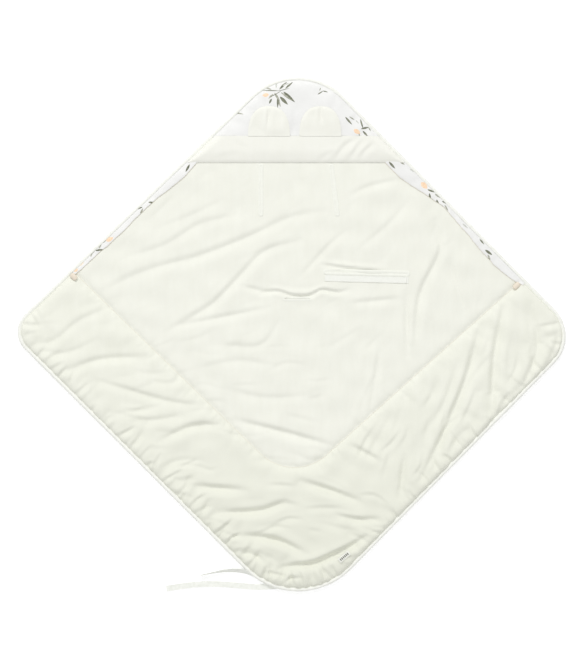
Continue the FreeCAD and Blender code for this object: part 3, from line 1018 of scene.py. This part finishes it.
def brim():
    """The velour band along the hood's opening: folded over, padded, and sewn down behind."""
    rim = outline(EDGE)
    flat, faces = triangulate(band_of(rim, BRIM_Y, BRIM_SEAM_Y), [], [], 5 * MM)
    d_out, _, _ = distance(flat, rim, closed=True)
    front = 13.3 * MM + 1.3 * MM * dome(flat[:, 1] - BRIM_Y, 2.5 * MM)
    front += 5.2 * MM * np.sin(np.clip((flat[:, 1] - BRIM_Y) / (30 * MM), 0, 1) * math.pi / 2)
    back = HOOD_Z + 0.9 * MM + 1.6 * MM * dome(BRIM_SEAM_Y - flat[:, 1], 10 * MM)
    side = 8.6 * MM + 13.5 * MM * dome(d_out, 34 * MM)
    z = np.minimum(np.minimum(front, back), side)
    inner = np.minimum(flat[:, 1] - BRIM_Y, BRIM_SEAM_Y - flat[:, 1])
    z += 0.6 * laid_folds(flat, BRIM_FOLDS) * dome(np.minimum(inner, d_out), 9 * MM)
    hold = np.full(len(flat), 0.006)
    hold[(inner < 1 * MM) | (d_out < 1.5 * MM)] = 1
    ahead = np.tile([1.0, 0.0], (len(flat), 1))
    points = settled(np.column_stack([flat, z]), faces, hold, np.full(len(flat), 0.012), ahead, 250)
    fine, fine_faces, _ = refined(np.column_stack([points, flat]), faces, hold >= 1)
    top, place = fine[:, :3].copy(), fine[:, 3:5]
    top[:, 2] = np.maximum(top[:, 2], 8.6 * MM)
    floor = np.minimum(12.7 * MM, top[:, 2] - 0.8 * MM)
    low = at_height(top, floor)
    obj = skin("hood_brim_pad", top, low, fine_faces, place, normals_of(top, fine_faces))
    fitted(obj, "velour_white", "brim", "head", "hood_brim")
    inside_faces, (high, base, flat_in) = only(
        faces, (inner > 5 * MM)[faces].all(axis=1) & (d_out > 12 * MM)[faces].all(axis=1),
        points, points * [1, 1, 0] + [0, 0, 13.8 * MM], flat)
    high = at_height(high, np.maximum(high[:, 2] - 2 * MM, 15 * MM))
    pad = skin("hood_brim_wadding_pad", high, base, inside_faces, flat_in)
    fitted(pad, "wadding", "wadding", "head", "hood_brim_wadding")


def at_height(points, z):
    """The points moved up or down to z, one height for all or one for each."""
    return np.column_stack([points[:, :2], np.broadcast_to(z, len(points))])


def ear(side, x, pleat):
    """A soft ear of two layers with filling between, pleated down its middle."""
    turns = np.linspace(0, math.pi, 40)
    arch = [(x + EAR_W / 2 * math.copysign(abs(math.cos(t)) ** 0.8, math.cos(t)),
             EAR_Y + EAR_H * math.sin(t) ** 0.85) for t in turns]
    loop = resampled(arch, 4 * MM, closed=True)
    flat, faces = triangulate(loop, [], [], 4 * MM)
    d, _, way = distance(flat, arch)
    rise = np.clip((flat[:, 1] - EAR_Y) / (40 * MM), 0, 1)
    z = EAR_Z + 3.0 * MM * dome(d, 17 * MM) * rise * rise * (3 - 2 * rise)
    pleats = [(list(line), -3.4, 3.4) for line in pleat]
    z = np.maximum(z + laid_folds(flat, pleats) * dome(d, 5 * MM) * rise, EAR_Z)
    hold = np.full(len(flat), 0.004)
    hold[(d < 1 * MM) | (flat[:, 1] < EAR_Y + 1 * MM)] = 1
    growth = np.full(len(flat), 0.03)
    points = settled(np.column_stack([flat, z]), faces, hold, growth, way, 150, 0.1)
    points[:, 2] = np.maximum(points[:, 2], EAR_Z)
    fine, fine_faces, _ = refined(np.column_stack([points, flat]), faces, hold >= 1)
    top, place = fine[:, :3], fine[:, 3:5]
    front = skin(f"ear_front_{side}_cloth", top, top - [0, 0, PRINT_T], fine_faces, place,
                 normals_of(top, fine_faces))
    upper, under = at_height(points, 19.6 * MM), at_height(points, 19.0 * MM)
    back = skin(f"ear_back_{side}_cloth", upper, under, faces, flat)
    own, (high, where) = only(faces, (d > 2 * MM)[faces].all(axis=1), points, flat)
    high = at_height(high, np.maximum(high[:, 2] - 1.3 * MM, 19.9 * MM))
    fill = skin(f"ear_filling_{side}_pad", high, at_height(high, 19.7 * MM), own, where)
    dress(front, "ear_velour")
    dress(back, "ear_velour")
    dress(fill, "wadding")
    for obj, node in ((front, "ear_front"), (back, "ear_back"), (fill, "ear_filling")):
        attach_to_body(obj, f"ear_{side}")
        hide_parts(f"{node}_{side}")
    declare(place)
    declare(flat)


# ---------------------------------------------------------------- facings, slots and small parts

def height_on(ground, places):
    """The height of the lining or border under each place, or the floor's where there is none."""
    found = []
    for x, y in np.asarray(places)[:, :2]:
        hit = ground.ray_cast(Vector((x, y, 1)), Vector((0, 0, -1)))[0]
        found.append(EDGE_Z if hit is None else hit.z)
    return np.array(found)


def facing(side, ground):
    """The printed strip along an upper edge: sewn at the piping, its inner edge rolled under, with a tan
    cord along that edge as its painted shadow.
    """
    rim = outline(EDGE, 3 * MM)
    (_, end_y), widths = FACINGS[side]
    upper = rim[(rim[:, 1] > end_y + 5 * MM) & (rim[:, 0] * SIDE[side] > 0) & (rim[:, 1] < 0.389)]
    upper = upper[np.argsort(-upper[:, 1])]
    run = resampled(upper, 3 * MM)
    t = np.linspace(0, 1, len(run))
    width = np.interp(t, *zip(*widths)) * MM
    wave = np.convolve(RNG.normal(0, 1, len(run) + 8), np.ones(9) / 9, "valid")
    width += 1.6 * MM * wave
    ahead, left = frames_along(np.column_stack([run, 0 * t]), False)
    inward = left[:, :2] * SIDE[side] * -1
    across = np.array([0, 0.2, 0.42, 0.64, 0.82, 0.94, 1.0, 0.985, 0.93])
    lift = np.array([2.6, 2.4, 2.1, 2.0, 2.2, 2.1, 1.5, 0.7, 0.3]) * MM
    out = across[None, :, None] * width[:, None, None]
    slant = np.clip(1 - t / 0.2, 0, 1)[:, None] ** 2
    place = run[:, None] + (inward - ahead[:, :2] * slant)[:, None] * out
    ground_z = height_on(ground, place.reshape(-1, 2)).reshape(place.shape[:2])
    low = ground_z[:, :1] * (1 - across) + np.maximum.accumulate(ground_z, axis=1) * across
    pucker = 0.5 * MM * np.sin(np.arange(len(run)) * 0.62 + 3 * wave)[:, None] * np.sin(across * math.pi)
    z = np.maximum(ground_z, low) + lift + pucker
    z = np.where(across > 0.95, ground_z + lift, z)
    grid = np.dstack([place, z])
    uv = place.copy()
    for name, keep in (("head", run[:, 1] > PART_HEAD), (side, run[:, 1] <= PART_HEAD)):
        rows = np.nonzero(keep)[0]
        rows = np.arange(rows[0], min(rows[-1] + 2, len(run)) if name == "head" else rows[-1] + 1)
        obj = ribbon(f"edge_facing_{name}_{side}_cloth", grid[rows], uv[rows], 0.7 * MM)
        spanning(obj, "hood_print", "printed_facing", name, f"edge_facing_{name}", "edge_facing_centre")
        # Painted shadow: a thin tan cord laid along the rolled edge, where the edge's shadow falls.
        hem = grid[rows][:, 6] - [0, 0, 0.2 * MM]
        edge = tube(f"facing_edge_{name}_{side}_thread", hem, 0.5 * MM, sides=6)
        spanning(edge, "painted_edge_shadow", "thread", name)
    facing_end(side, ground, ahead[-1][:2])


def facing_end(side, ground, ahead):
    """The end of a facing, rolled up on itself and tacked down."""
    x, y = FACINGS[side][0]
    base = float(height_on(ground, [(x, y)])[0]) + 3.6 * MM
    turns = np.linspace(0, 5.2 * math.pi, 46)
    radius = (1.2 + 5.2 * turns / turns[-1]) * MM
    side_way = np.array([-ahead[1], ahead[0]])
    rows = []
    for at in np.linspace(-1, 1, 7):
        pinch = 1 - 0.25 * at * at
        centre = np.array([x, y]) + side_way * at * 8 * MM
        ring = centre + ahead * (np.cos(turns) * radius * pinch)[:, None]
        rows.append(np.column_stack([ring, base + 0.62 * np.sin(turns) * radius * pinch + 0.5 * MM]))
    grid = np.array(rows)
    across = np.linspace(-1, 1, 7)[:, None] * 8 * MM + 0 * turns
    uv = np.dstack([x + across, y + np.broadcast_to(turns * 2.5 * MM, across.shape)])
    obj = ribbon(f"facing_end_{side}_roll", grid, uv, 0.7 * MM)
    fitted(obj, "peach_print", "printed_facing", f"{side}_wing", f"facing_end_{side}")


def seam_thread_and_shade(ground):
    """The fine line of the seam between lining and border, in one run for each part it crosses. Its tan
    colour is partly the seam's thread and partly painted shade in the seam's groove.
    """
    path = resampled(rounded_seam(0.06), 2 * MM)
    path = path[inside(path, outline(EDGE))]
    path = np.column_stack([path, height_on(ground, path) + 0.15 * MM])
    corner = corner_of(path[:, :2])
    starts = [0, *(np.nonzero(corner[1:] != corner[:-1])[0] + 1), len(path) - 1]
    for first, last in zip(starts, starts[1:]):
        name = str(corner[first])
        thread = tube(f"seam_thread_and_shade_{name}", path[first:last + 1], 0.4 * MM, sides=6)
        spanning(thread, "seam_thread_and_shade", "thread", name)


def stadium(centre, length, width, angle, step=2.5 * MM):
    """A slot's edge with round ends, anticlockwise."""
    half, r = (length - width) / 2, width / 2
    turns = np.linspace(-math.pi / 2, math.pi / 2, 9)
    points = [(half + r * math.cos(t), r * math.sin(t)) for t in turns]
    points += [(-half - r * math.cos(t), -r * math.sin(t)) for t in turns]
    c, s = math.cos(math.radians(angle)), math.sin(math.radians(angle))
    turned = [(centre[0] + c * x - s * y, centre[1] + s * x + c * y) for x, y in points]
    return resampled(turned, step, closed=True)


def binding(name, ground):
    """The bias binding round a slot: a soft lip on the lining, the slot's wall, a lip below."""
    centre, length, width, angle = SLOTS[name]
    loop = stadium(centre, length, width * 0.55, angle)
    _, left = frames_along(np.column_stack([loop, 0 * loop[:, 0]]), True)
    outward = -left[:, :2]
    rim = loop + outward * 7 * MM
    z = height_on(ground, rim)
    for _ in range(6):
        z = (np.roll(z, 1) + 2 * z + np.roll(z, -1)) / 4
    lip, window = LIPS[name], WINDOW[name]
    profile = [(3.0, 0, 0.4), (1.2, 0, 0.5), (0.2, 0, 1.6), (-0.6, z, -2.2), (-window, z, -1.0),
               (-window, z, 0.2), (0.3, z, 0.75), (lip * 0.5, z, 0.85), (lip, z, 0.15),
               (lip - 0.3, z, -0.8)]
    rows = []
    for out, base, up in profile:
        level = base + up * MM
        rows.append(np.column_stack([loop + outward * out * MM, np.broadcast_to(level, len(loop))]))
    grid = np.stack(rows, axis=1)
    obj = ribbon(f"{name}_cloth", grid, grid[..., :2].copy(), 0.8 * MM, closed=True)
    fitted(obj, "slot_cloth", "slot_binding", "centre", name)


def belt_tape(ground):
    """The white tape that faces the belt slot's lower side, tacked at its right end."""
    low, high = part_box("belt_slot_tape")
    angle = math.radians(SLOTS["belt_slot_binding"][3])
    c, t = math.cos(angle), math.sin(angle)
    middle = (low + high) / 2
    u = np.linspace(-0.5, 0.5, 70) * ((high.x - low.x) / c)
    v = np.linspace(-0.5, 0.5, 7) * 13.5 * MM
    x = middle.x + c * u[:, None] - t * v
    y = middle.y - 1.5 * MM + t * u[:, None] + c * v
    z = height_on(ground, np.dstack([x, y]).reshape(-1, 2)).reshape(x.shape)
    z = z.mean(axis=1)[:, None] + 0.9 * MM + 0.2 * MM * np.sin(u[:, None] * 110)
    z = z + 0 * v
    tape = ribbon("belt_slot_tape_strip", np.dstack([x, y, z]), np.dstack([x, y]), 0.6 * MM)
    fitted(tape, "tape", "slot_tape", "centre", "belt_slot_tape")
    ends = [(x[-3, j], y[-3, j], z[-3, j] + 0.5 * MM) for j in (0, -1)]
    bar = tube("belt_bar_tack_thread", resampled(ends, 1.5 * MM), 0.9 * MM, sides=8)
    fitted(bar, "thread", "thread", "centre")
    for row, name in ((1, "lower"), (-2, "upper")):
        path = np.column_stack([x[:, row], y[:, row], z[:, row] + 0.35 * MM])
        stitches(f"belt_tape_{name}_stitches", path, "centre", radius=0.22 * MM)


def drawn_path(points, per_span=24):
    """Points along the smooth NURBS line that a free ribbon follows."""
    curve = bpy.data.curves.new("route", "CURVE")
    curve.dimensions = "3D"
    spline = curve.splines.new("NURBS")
    spline.points.add(len(points) - 1)
    for point, place in zip(spline.points, points):
        point.co = (*place, 1)
    spline.order_u = 3
    spline.use_endpoint_u = True
    spline.resolution_u = per_span
    route = new_object("route", curve)
    bpy.context.view_layer.update()
    mesh = bpy.data.meshes.new_from_object(route)
    path = np.array([v.co for v in mesh.vertices])
    bpy.data.objects.remove(route)
    return path


def tie(name, route, level, twist):
    """A ribbon that lies on the floor. twist is how far its free end stands on edge, in degrees."""
    points = [(x * MM, y * MM, level) for x, y in route]
    path = drawn_path(points)
    _, left = frames_along(path, False)
    t = np.linspace(0, 1, len(path))
    lean = -np.radians(twist) * np.interp(t, [0, 0.2, 0.65, 1], [0, 0.45, 0.55, 1])
    v = np.linspace(-0.5, 0.5, 7) * TIE_W
    up = np.array([0, 0, 1.0])
    side = left * np.cos(lean)[:, None] + up * np.sin(lean)[:, None]
    path[:, 2] = np.maximum(path[:, 2], 0.5 * MM + TIE_W / 2 * np.abs(np.sin(lean)))
    curl = 0.25 * MM * np.sin(t * 17)[:, None] * np.cos(v / TIE_W * math.pi)
    grid = path[:, None] + side[:, None] * v[None, :, None]
    grid[..., 2] += np.maximum(curl, -0.1 * MM)
    along = lengths_along(path)
    uv = np.stack(np.meshgrid(along, v, indexing="ij"), axis=-1)
    obj = ribbon(f"{name}_ribbon", grid, uv, 0.5 * MM)
    fitted(obj, "tie_ribbon", "tie_ribbon", name, name)


def label(ground):
    """A small woven label with a row of dots, caught in the border near the lower right edge."""
    (x, y), angle = LABEL_AT, math.radians(LABEL_TURN)
    u = np.linspace(-0.5, 0.5, 18) * LABEL_L
    v = np.linspace(-0.5, 0.5, 7) * LABEL_W
    px = x + math.cos(angle) * u[:, None] - math.sin(angle) * v
    py = y + math.sin(angle) * u[:, None] + math.cos(angle) * v
    z = height_on(ground, np.dstack([px, py]).reshape(-1, 2)).reshape(px.shape)
    z = z.mean() * 0.4 + z * 0.6 + 2.2 * MM
    uv = np.stack(np.meshgrid(u, v, indexing="ij"), axis=-1)
    obj = ribbon("woven_label_strip", np.dstack([px, py, z]), uv, 0.5 * MM)
    spanning(obj, "label", "label", "foot", "woven_label")


def stitches(name, path, body, length=2.4 * MM, gap=1.5 * MM, radius=0.3 * MM):
    """A row of thread stitches along a path: short capsules, a little below the cloth at their ends."""
    path = resampled(path, 0.5 * MM)
    ahead, left = frames_along(path, False)
    up = np.cross(ahead, left)
    step, run = round((length + gap) / (0.5 * MM)), round(length / (0.5 * MM))
    turns = np.linspace(0, 2 * math.pi, 6, endpoint=False)
    verts, faces = [], []
    for start in range(2, len(path) - run - 1, step):
        first = len(verts)
        for k, swell in ((0, 0.35), (1, 0.9), (run - 1, 0.9), (run, 0.35)):
            i = start + k
            dip = -0.25 * MM if swell < 0.5 else 0
            for t in turns:
                out = left[i] * math.cos(t) + up[i] * math.sin(t)
                verts.append(path[i] + out * radius * swell + [0, 0, dip])
        for r in range(3):
            for j in range(6):
                a, b = first + r * 6, first + (r + 1) * 6
                faces.append((a + j, a + (j + 1) % 6, b + (j + 1) % 6, b + j))
        faces.append([first + j for j in reversed(range(6))])
        faces.append([first + 18 + j for j in range(6)])
    fitted(consistent(made(name, verts, faces)), "thread", "thread", body)


def sewing(ground):
    """The visible stitches: along the brim's seam, the small tacks at the slots, and the ties' tack."""
    seam = [(x, BRIM_SEAM_Y + 1.4 * MM, HOOD_Z + 0.3 * MM) for x in (-0.165, 0.183)]
    stitches("brim_seam_stitches", seam, "head")
    rows = []
    x, y = TACK
    for k in range(6):
        rows.append((x + (k - 2.5) * 1.5 * MM, y - 4.5 * MM if k % 2 else y + 4.5 * MM, 3.4 * MM))
    tack = tube("tie_bar_tack_thread", resampled(rows, 1 * MM), 0.55 * MM, sides=8)
    fitted(tack, "thread", "thread", "foot", "tie_bar_tack")
    x, y = SLOTS["shoulder_slot_binding_right"][0]
    z = float(height_on(ground, [(x, y)])[0]) + 2.4 * MM
    path = [(x - 8 * MM, y + 5 * MM, z), (x + 9 * MM, y + 4 * MM, z)]
    bar = tube("slot_bar_tack_thread", resampled(path, 1.5 * MM), 0.8 * MM, sides=8)
    fitted(bar, "thread", "thread", "centre")


# ---------------------------------------------------------------- materials

class Shades:
    """Adds shader nodes to one material or group, with short names for what is used most."""

    def __init__(self, tree):
        self.tree = tree

    def add(self, kind, inputs=(), **settings):
        node = self.tree.nodes.new(kind)
        for key, value in settings.items():
            setattr(node, key, value)
        for key, value in dict(inputs).items():
            if isinstance(value, bpy.types.NodeSocket):
                self.tree.links.new(value, node.inputs[key])
            else:
                node.inputs[key].default_value = value
        return node

    def maths(self, operation, *values):
        return self.add("ShaderNodeMath", dict(enumerate(values)), operation=operation).outputs[0]

    def mixed(self, share, first, second):
        return self.add("ShaderNodeMix", {0: share, 6: first, 7: second}, data_type="RGBA").outputs[2]

    def vector(self, operation, *values):
        inputs = dict(enumerate(values))
        return self.add("ShaderNodeVectorMath", inputs, operation=operation).outputs[0]

    def noise(self, place, scale, detail=2.0):
        inputs = {"Vector": place, "Scale": scale, "Detail": detail}
        return self.add("ShaderNodeTexNoise", inputs).outputs[0]

    def streaks(self, place, squeeze, scale, detail):
        """Noise that is drawn out along the cloth's second direction."""
        drawn = self.add("ShaderNodeMapping", {"Vector": place, "Scale": (1, squeeze, 1)}).outputs[0]
        return self.noise(drawn, scale, detail)

    def split(self, place):
        return self.add("ShaderNodeSeparateXYZ", {"Vector": place}).outputs

    def ramp(self, value, low, high):
        inputs = {"Value": value, "From Min": low, "From Max": high}
        return self.add("ShaderNodeMapRange", inputs, clamp=True).outputs[0]

    def bump(self, height, distance, strength=1.0, below=None):
        inputs = {"Height": height, "Distance": distance, "Strength": strength}
        if below is not None:
            inputs["Normal"] = below
        return self.add("ShaderNodeBump", inputs).outputs[0]


def rgb(red, green, blue):
    """A colour as it looks on a screen, 0 to 255, in linear light."""
    parts = [v / 255 for v in (red, green, blue)]
    return (*(p / 12.92 if p <= 0.04045 else ((p + 0.055) / 1.055) ** 2.4 for p in parts), 1.0)


def material(name):
    """A new material with no nodes, and what adds nodes to it."""
    new = bpy.data.materials.new(name)
    new.use_nodes = True
    new.node_tree.nodes.clear()
    return new, Shades(new.node_tree)


def on_cloth(shades):
    """The place on the flat cloth, in metres."""
    return shades.add("ShaderNodeUVMap", uv_map="cloth").outputs[0]


def surface(shades, colour, roughness, normal, **fixed):
    """The principled shader at the end of every material."""
    inputs = {"Base Color": colour, "Roughness": roughness, "Normal": normal}
    shader = shades.add("ShaderNodeBsdfPrincipled", inputs)
    for key, value in fixed.items():
        shader.inputs[key.replace("_", " ")].default_value = value
    shades.add("ShaderNodeOutputMaterial", {"Surface": shader.outputs[0]})


def velour(name, light, shade, sheen=0.35, foot=None):
    """Cut-pile cotton: fine pile, soft streaks where it is brushed, and a pale sheen. foot is the darker
    colour that it turns to, bit by bit, towards the foot: painted shade, standing in for the light that
    grows weaker away from the lamps."""
    new, n = material(name)
    place = on_cloth(n)
    pile = n.noise(place, 1100.0, 3.0)
    brushed = n.streaks(place, 0.25, 70.0, 4.0)
    patch = n.noise(place, 14.0, 3.0)
    tone = n.maths("ADD", n.maths("MULTIPLY", brushed, 0.6), n.maths("MULTIPLY", patch, 0.4))
    colour = n.mixed(n.ramp(tone, 0.22, 0.78), shade, light)
    # Painted shade: the colour darkens towards the foot, where less light falls.
    if foot is not None:
        y = n.split(place)[1]
        colour = n.mixed(n.ramp(n.maths("MULTIPLY", y, -1.0), 0.10, 0.45), colour, foot)
    speck = n.ramp(pile, 0.25, 0.75)
    colour = n.mixed(n.maths("MULTIPLY_ADD", speck, -0.07, 0.07), colour, shade)
    normal = n.bump(pile, 0.5 * MM, 0.35)
    normal = n.bump(brushed, 0.4 * MM, 0.12, normal)
    rough = n.maths("MULTIPLY_ADD", patch, 0.12, 0.82)
    surface(n, colour, rough, normal, Sheen_Weight=sheen, Sheen_Roughness=0.45)
    return new


def weave(n, place, threads=1250.0, depth=0.12 * MM):
    """A plain weave's bump and its gaps, with threads to the metre."""
    split = n.split(place)
    x = n.maths("SINE", n.maths("MULTIPLY", split[0], threads * math.pi))
    y = n.maths("SINE", n.maths("MULTIPLY", split[1], threads * math.pi))
    height = n.maths("ABSOLUTE", n.maths("MULTIPLY", x, y))
    slub = n.streaks(place, 0.1, 500.0, 2.0)
    height = n.maths("MULTIPLY_ADD", slub, 0.7, height)
    return n.bump(height, depth, 0.6), height


def leaf_group():
    """A leaf's mask: 1 inside, from 0 to 1 along the leaf, widest a little before its middle."""
    group = bpy.data.node_groups.new("leaf", "ShaderNodeTree")
    for socket in ("Place", "Root", "Turn", "Size"):
        group.interface.new_socket(socket, in_out="INPUT", socket_type="NodeSocketVector")
    group.interface.new_socket("Mask", in_out="OUTPUT", socket_type="NodeSocketFloat")
    n = Shades(group)
    given = n.add("NodeGroupInput").outputs
    inputs = {"Vector": given["Place"], "Location": given["Root"], "Rotation": given["Turn"],
              "Scale": given["Size"]}
    split = n.split(n.add("ShaderNodeMapping", inputs, vector_type="TEXTURE").outputs[0])
    along = n.add("ShaderNodeClamp", {"Value": split[0]}).outputs[0]
    rest = n.maths("SUBTRACT", 1.0, along)
    width = n.maths("MULTIPLY", n.maths("MULTIPLY", n.maths("POWER", along, 0.8), rest), 3.6)
    inside_leaf = n.maths("SUBTRACT", width, n.maths("ABSOLUTE", split[1]))
    mask = n.ramp(inside_leaf, 0.0, 0.12)
    n.add("NodeGroupOutput", {"Mask": mask})
    return group


def with_leaves(n, place, colour, leaves):
    """The colour with leaves and berries painted on it: (x, y, turn, length, width, tint) in mm."""
    wash = n.noise(place, 260.0, 3.0)
    for x, y, turn, length, width, tint in leaves:
        slim = BERRY_SLIM if tint == "peach" else LEAF_SLIM
        inputs = {"Place": place, "Root": (x * MM, y * MM, 0), "Turn": (0, 0, math.radians(turn)),
                  "Size": (length * MM, width * slim * MM, 1)}
        mask = n.add("ShaderNodeGroup", inputs, node_tree=LEAF)
        faint, strong = TINTS[tint]
        paint = n.mixed(n.ramp(wash, 0.35, 0.65), faint, strong)
        colour = n.mixed(mask.outputs[0], colour, paint)
    return colour


def printed(name, ground, leaves):
    """White cotton with placed leaves and berries."""
    new, n = material(name)
    place = on_cloth(n)
    normal, height = weave(n, place)
    tone = n.noise(place, 20.0, 3.0)
    colour = n.mixed(n.ramp(tone, 0.3, 0.7), ground, tuple(v * 0.965 for v in ground[:3]) + (1.0,))
    colour = with_leaves(n, place, colour, leaves)
    colour = n.mixed(n.maths("MULTIPLY", n.ramp(height, 0.0, 0.5), -0.06), colour, (1, 1, 1, 1))
    rough = n.maths("MULTIPLY_ADD", tone, 0.1, 0.72)
    surface(n, colour, rough, normal, Sheen_Weight=0.12, Sheen_Roughness=0.4)
    return new


def repeated_print(name, ground, leaves, cell=0.150):
    """The same cotton with a sprig in every cell, each one turned its own way."""
    new, n = material(name)
    place = on_cloth(n)
    normal, height = weave(n, place)
    tile = n.vector("DIVIDE", place, (cell, cell, cell))
    index = n.vector("FLOOR", tile)
    local = n.vector("SUBTRACT", n.vector("FRACTION", tile), (0.5, 0.5, 0.0))
    local = n.vector("MULTIPLY", local, (cell, cell, 0.0))
    own_turn = n.add("ShaderNodeTexWhiteNoise", {"Vector": index}, noise_dimensions="2D").outputs[0]
    inputs = {"Vector": local, "Angle": n.maths("MULTIPLY", own_turn, 6.283)}
    turned = n.add("ShaderNodeVectorRotate", inputs, rotation_type="Z_AXIS").outputs[0]
    colour = with_leaves(n, turned, ground, leaves)
    rough = n.maths("MULTIPLY_ADD", height, 0.04, 0.74)
    surface(n, colour, rough, normal, Sheen_Weight=0.1, Sheen_Roughness=0.4)
    return new


def woven(name, light, shade, threads, depth, rough=0.7, sheen=0.15, across=1.0):
    """Tape, ribbon or thread: ribs of weave and slight changes of colour."""
    new, n = material(name)
    place = on_cloth(n)
    split = n.split(place)
    rib = n.maths("MULTIPLY", split[0], threads * math.pi)
    rib = n.maths("ABSOLUTE", n.maths("SINE", rib))
    fill = n.maths("MULTIPLY", split[1], threads * across * math.pi)
    fill = n.maths("ABSOLUTE", n.maths("SINE", fill))
    height = n.maths("MULTIPLY_ADD", fill, 0.4, rib)
    tone = n.noise(place, 120.0, 3.0)
    colour = n.mixed(n.ramp(tone, 0.3, 0.7), shade, light)
    surface(n, colour, n.maths("MULTIPLY_ADD", tone, 0.12, rough), n.bump(height, depth, 0.6),
            Sheen_Weight=sheen, Sheen_Roughness=0.4)
    return new


def label_cloth():
    """A white woven label with a row of grey dots."""
    new, n = material("label_woven")
    place = on_cloth(n)
    split = n.split(place)
    cell = n.maths("SUBTRACT", n.maths("FRACT", n.maths("MULTIPLY", split[0], 1 / (4 * MM))), 0.5)
    dot = n.maths("POWER", n.maths("MULTIPLY", cell, 4 * MM), 2.0)
    dot = n.maths("ADD", dot, n.maths("POWER", n.maths("MULTIPLY", split[1], 0.45), 2.0))
    inside_row = n.maths("LESS_THAN", n.maths("ABSOLUTE", split[0]), 12 * MM)
    mask = n.maths("MULTIPLY", n.maths("LESS_THAN", dot, (1.4 * MM) ** 2), inside_row)
    normal, _ = weave(n, place, 1800.0, 0.08 * MM)
    colour = n.mixed(mask, rgb(229, 230, 222), rgb(112, 112, 104))
    surface(n, colour, 0.55, normal, Sheen_Weight=0.1)
    return new


def loose_fibre(name, colour):
    """Matted fibres, for the wadding."""
    new, n = material(name)
    place = n.add("ShaderNodeTexCoord").outputs["Object"]
    fibre = n.noise(place, 700.0, 5.0)
    toned = n.mixed(n.ramp(fibre, 0.3, 0.7), tuple(v * 0.9 for v in colour[:3]) + (1.0,), colour)
    surface(n, toned, 0.95, n.bump(fibre, 0.8 * MM, 0.5), Sheen_Weight=0.2)
    return new


def dress(obj, finish):
    """Gives obj its material."""
    obj.data.materials.clear()
    obj.data.materials.append(FINISHES[finish])


# ---------------------------------------------------------------- studio

def studio():
    """A white floor, a large soft light from the hood's side, and the camera straight above."""
    floor = made("studio_floor", [(-6, -6, 0), (6, -6, 0), (6, 6, 0), (-6, 6, 0)], [(0, 1, 2, 3)])
    floor.location.z = -0.5 * MM
    new, n = material("studio_paper")
    place = n.add("ShaderNodeTexCoord").outputs["Object"]
    colour = n.mixed(n.noise(place, 2.0), FLOOR_A, FLOOR_B)
    grain = n.bump(n.noise(place, 300.0), 0.1 * MM, 0.1)
    surface(n, colour, 0.9, grain, Emission_Color=(1, 1, 1, 1), Emission_Strength=0.16)
    floor.data.materials.append(new)
    for name, place, size, power, target in LIGHTS:
        lamp = bpy.data.lights.new(name, "AREA")
        lamp.shape, lamp.size, lamp.energy = "SQUARE", size, power
        holder = new_object(name, lamp)
        holder.location = place
        holder.rotation_euler = (Vector(target) - Vector(place)).to_track_quat("-Z", "Y").to_euler()
    bpy.context.scene.view_settings.view_transform = "Standard"
    world = bpy.data.worlds.new("studio")
    world.use_nodes = True
    sky = world.node_tree.nodes["Background"].inputs
    sky["Color"].default_value, sky["Strength"].default_value = (1, 1, 1, 1), SKY
    bpy.context.scene.world = world
    lens = bpy.data.cameras.new("camera")
    lens.lens, lens.sensor_fit, lens.sensor_width = 100, "VERTICAL", 36
    lens.sensor_height = 36
    holder = new_object("camera", lens)
    holder.location = (CAMERA_X, CAMERA_Y, CAMERA_Z)
    bpy.context.scene.camera = holder


LEAF = leaf_group()
FINISHES = {
    "velour": velour("velour_ivory", rgb(236, 236.5, 227), rgb(230, 230.5, 220)),
    # The border's foot tone is painted shade: it darkens the border towards the foot.
    "velour_border": velour("velour_border", rgb(234.5, 235, 224.5), rgb(228, 229, 216.5),
                            foot=rgb(226.5, 227.5, 214.5)),
    "velour_white": velour("velour_brim", rgb(236.5, 236.5, 229), rgb(232.5, 232.5, 223.5)),
    "ear_velour": velour("velour_ear", rgb(236.5, 236.5, 229), rgb(231.5, 231.5, 222)),
    "hood_print": printed("cotton_placed_print", rgb(233.5, 233.5, 231.5), PLACED),
    "peach_print": printed("cotton_peach_end", rgb(230, 219, 202), []),
    "back_print": repeated_print("cotton_back_print", rgb(240, 241, 242), SPRIG),
    "bias_tape": woven("bias_tape", rgb(242, 242, 237), rgb(233, 234, 226), 1500.0, 0.1 * MM),
    "cotton_cord": woven("cotton_cord", rgb(248, 248, 244), rgb(238, 238, 232), 500.0, 0.3 * MM),
    "tie_ribbon": woven("tie_ribbon", rgb(243, 244, 238), rgb(232, 234, 226), 900.0, 0.12 * MM,
                        rough=0.5, sheen=0.1, across=2.0),
    "tape": woven("slot_tape", rgb(238, 239, 232), rgb(234, 235, 228), 1200.0, 0.1 * MM),
    "slot_cloth": woven("slot_binding_cotton", rgb(237, 238, 229), rgb(233, 234, 225), 1500.0, 0.1 * MM),
    "thread": woven("thread", rgb(248, 248, 244), rgb(236, 236, 228), 2500.0, 0.1 * MM, 0.5),
    # Tan, for the painted shadow along each facing's rolled edge.
    "painted_edge_shadow": woven("painted_edge_shadow", rgb(228, 214, 192), rgb(214, 197, 170), 2500.0, 0.1 * MM, 0.5),
    # Tan: the seam's thread, darkened with painted shade for its groove.
    "seam_thread_and_shade": woven("seam_thread_and_shade", rgb(233, 228, 213), rgb(224, 217, 198), 2500.0, 0.1 * MM, 0.5),
    "label": label_cloth(),
    "wadding": loose_fibre("wadding_fibre", rgb(245, 245, 242)),
}


# ---------------------------------------------------------------- the object

flat, faces = wrap_triangles()
sheet, firm = inside_sheet(flat, faces)
ground, lowest = lining_and_border(faces, sheet, firm)
back_and_wadding(flat, faces, lowest)
piping()
hood()
brim()
for side, x in (("left", -0.050), ("right", 0.064)):
    ear(side, x, EAR_PLEATS[side])
for side in ("left", "right"):
    facing(side, ground)
for name in SLOTS:
    binding(name, ground)
belt_tape(ground)
tie("tie_lower", TIE_LOWER, 1.3 * MM, 0)
tie("tie_upper", TIE_UPPER, 2.2 * MM, 76)
label(ground)
sewing(ground)
seam_thread_and_shade(ground)
studio()
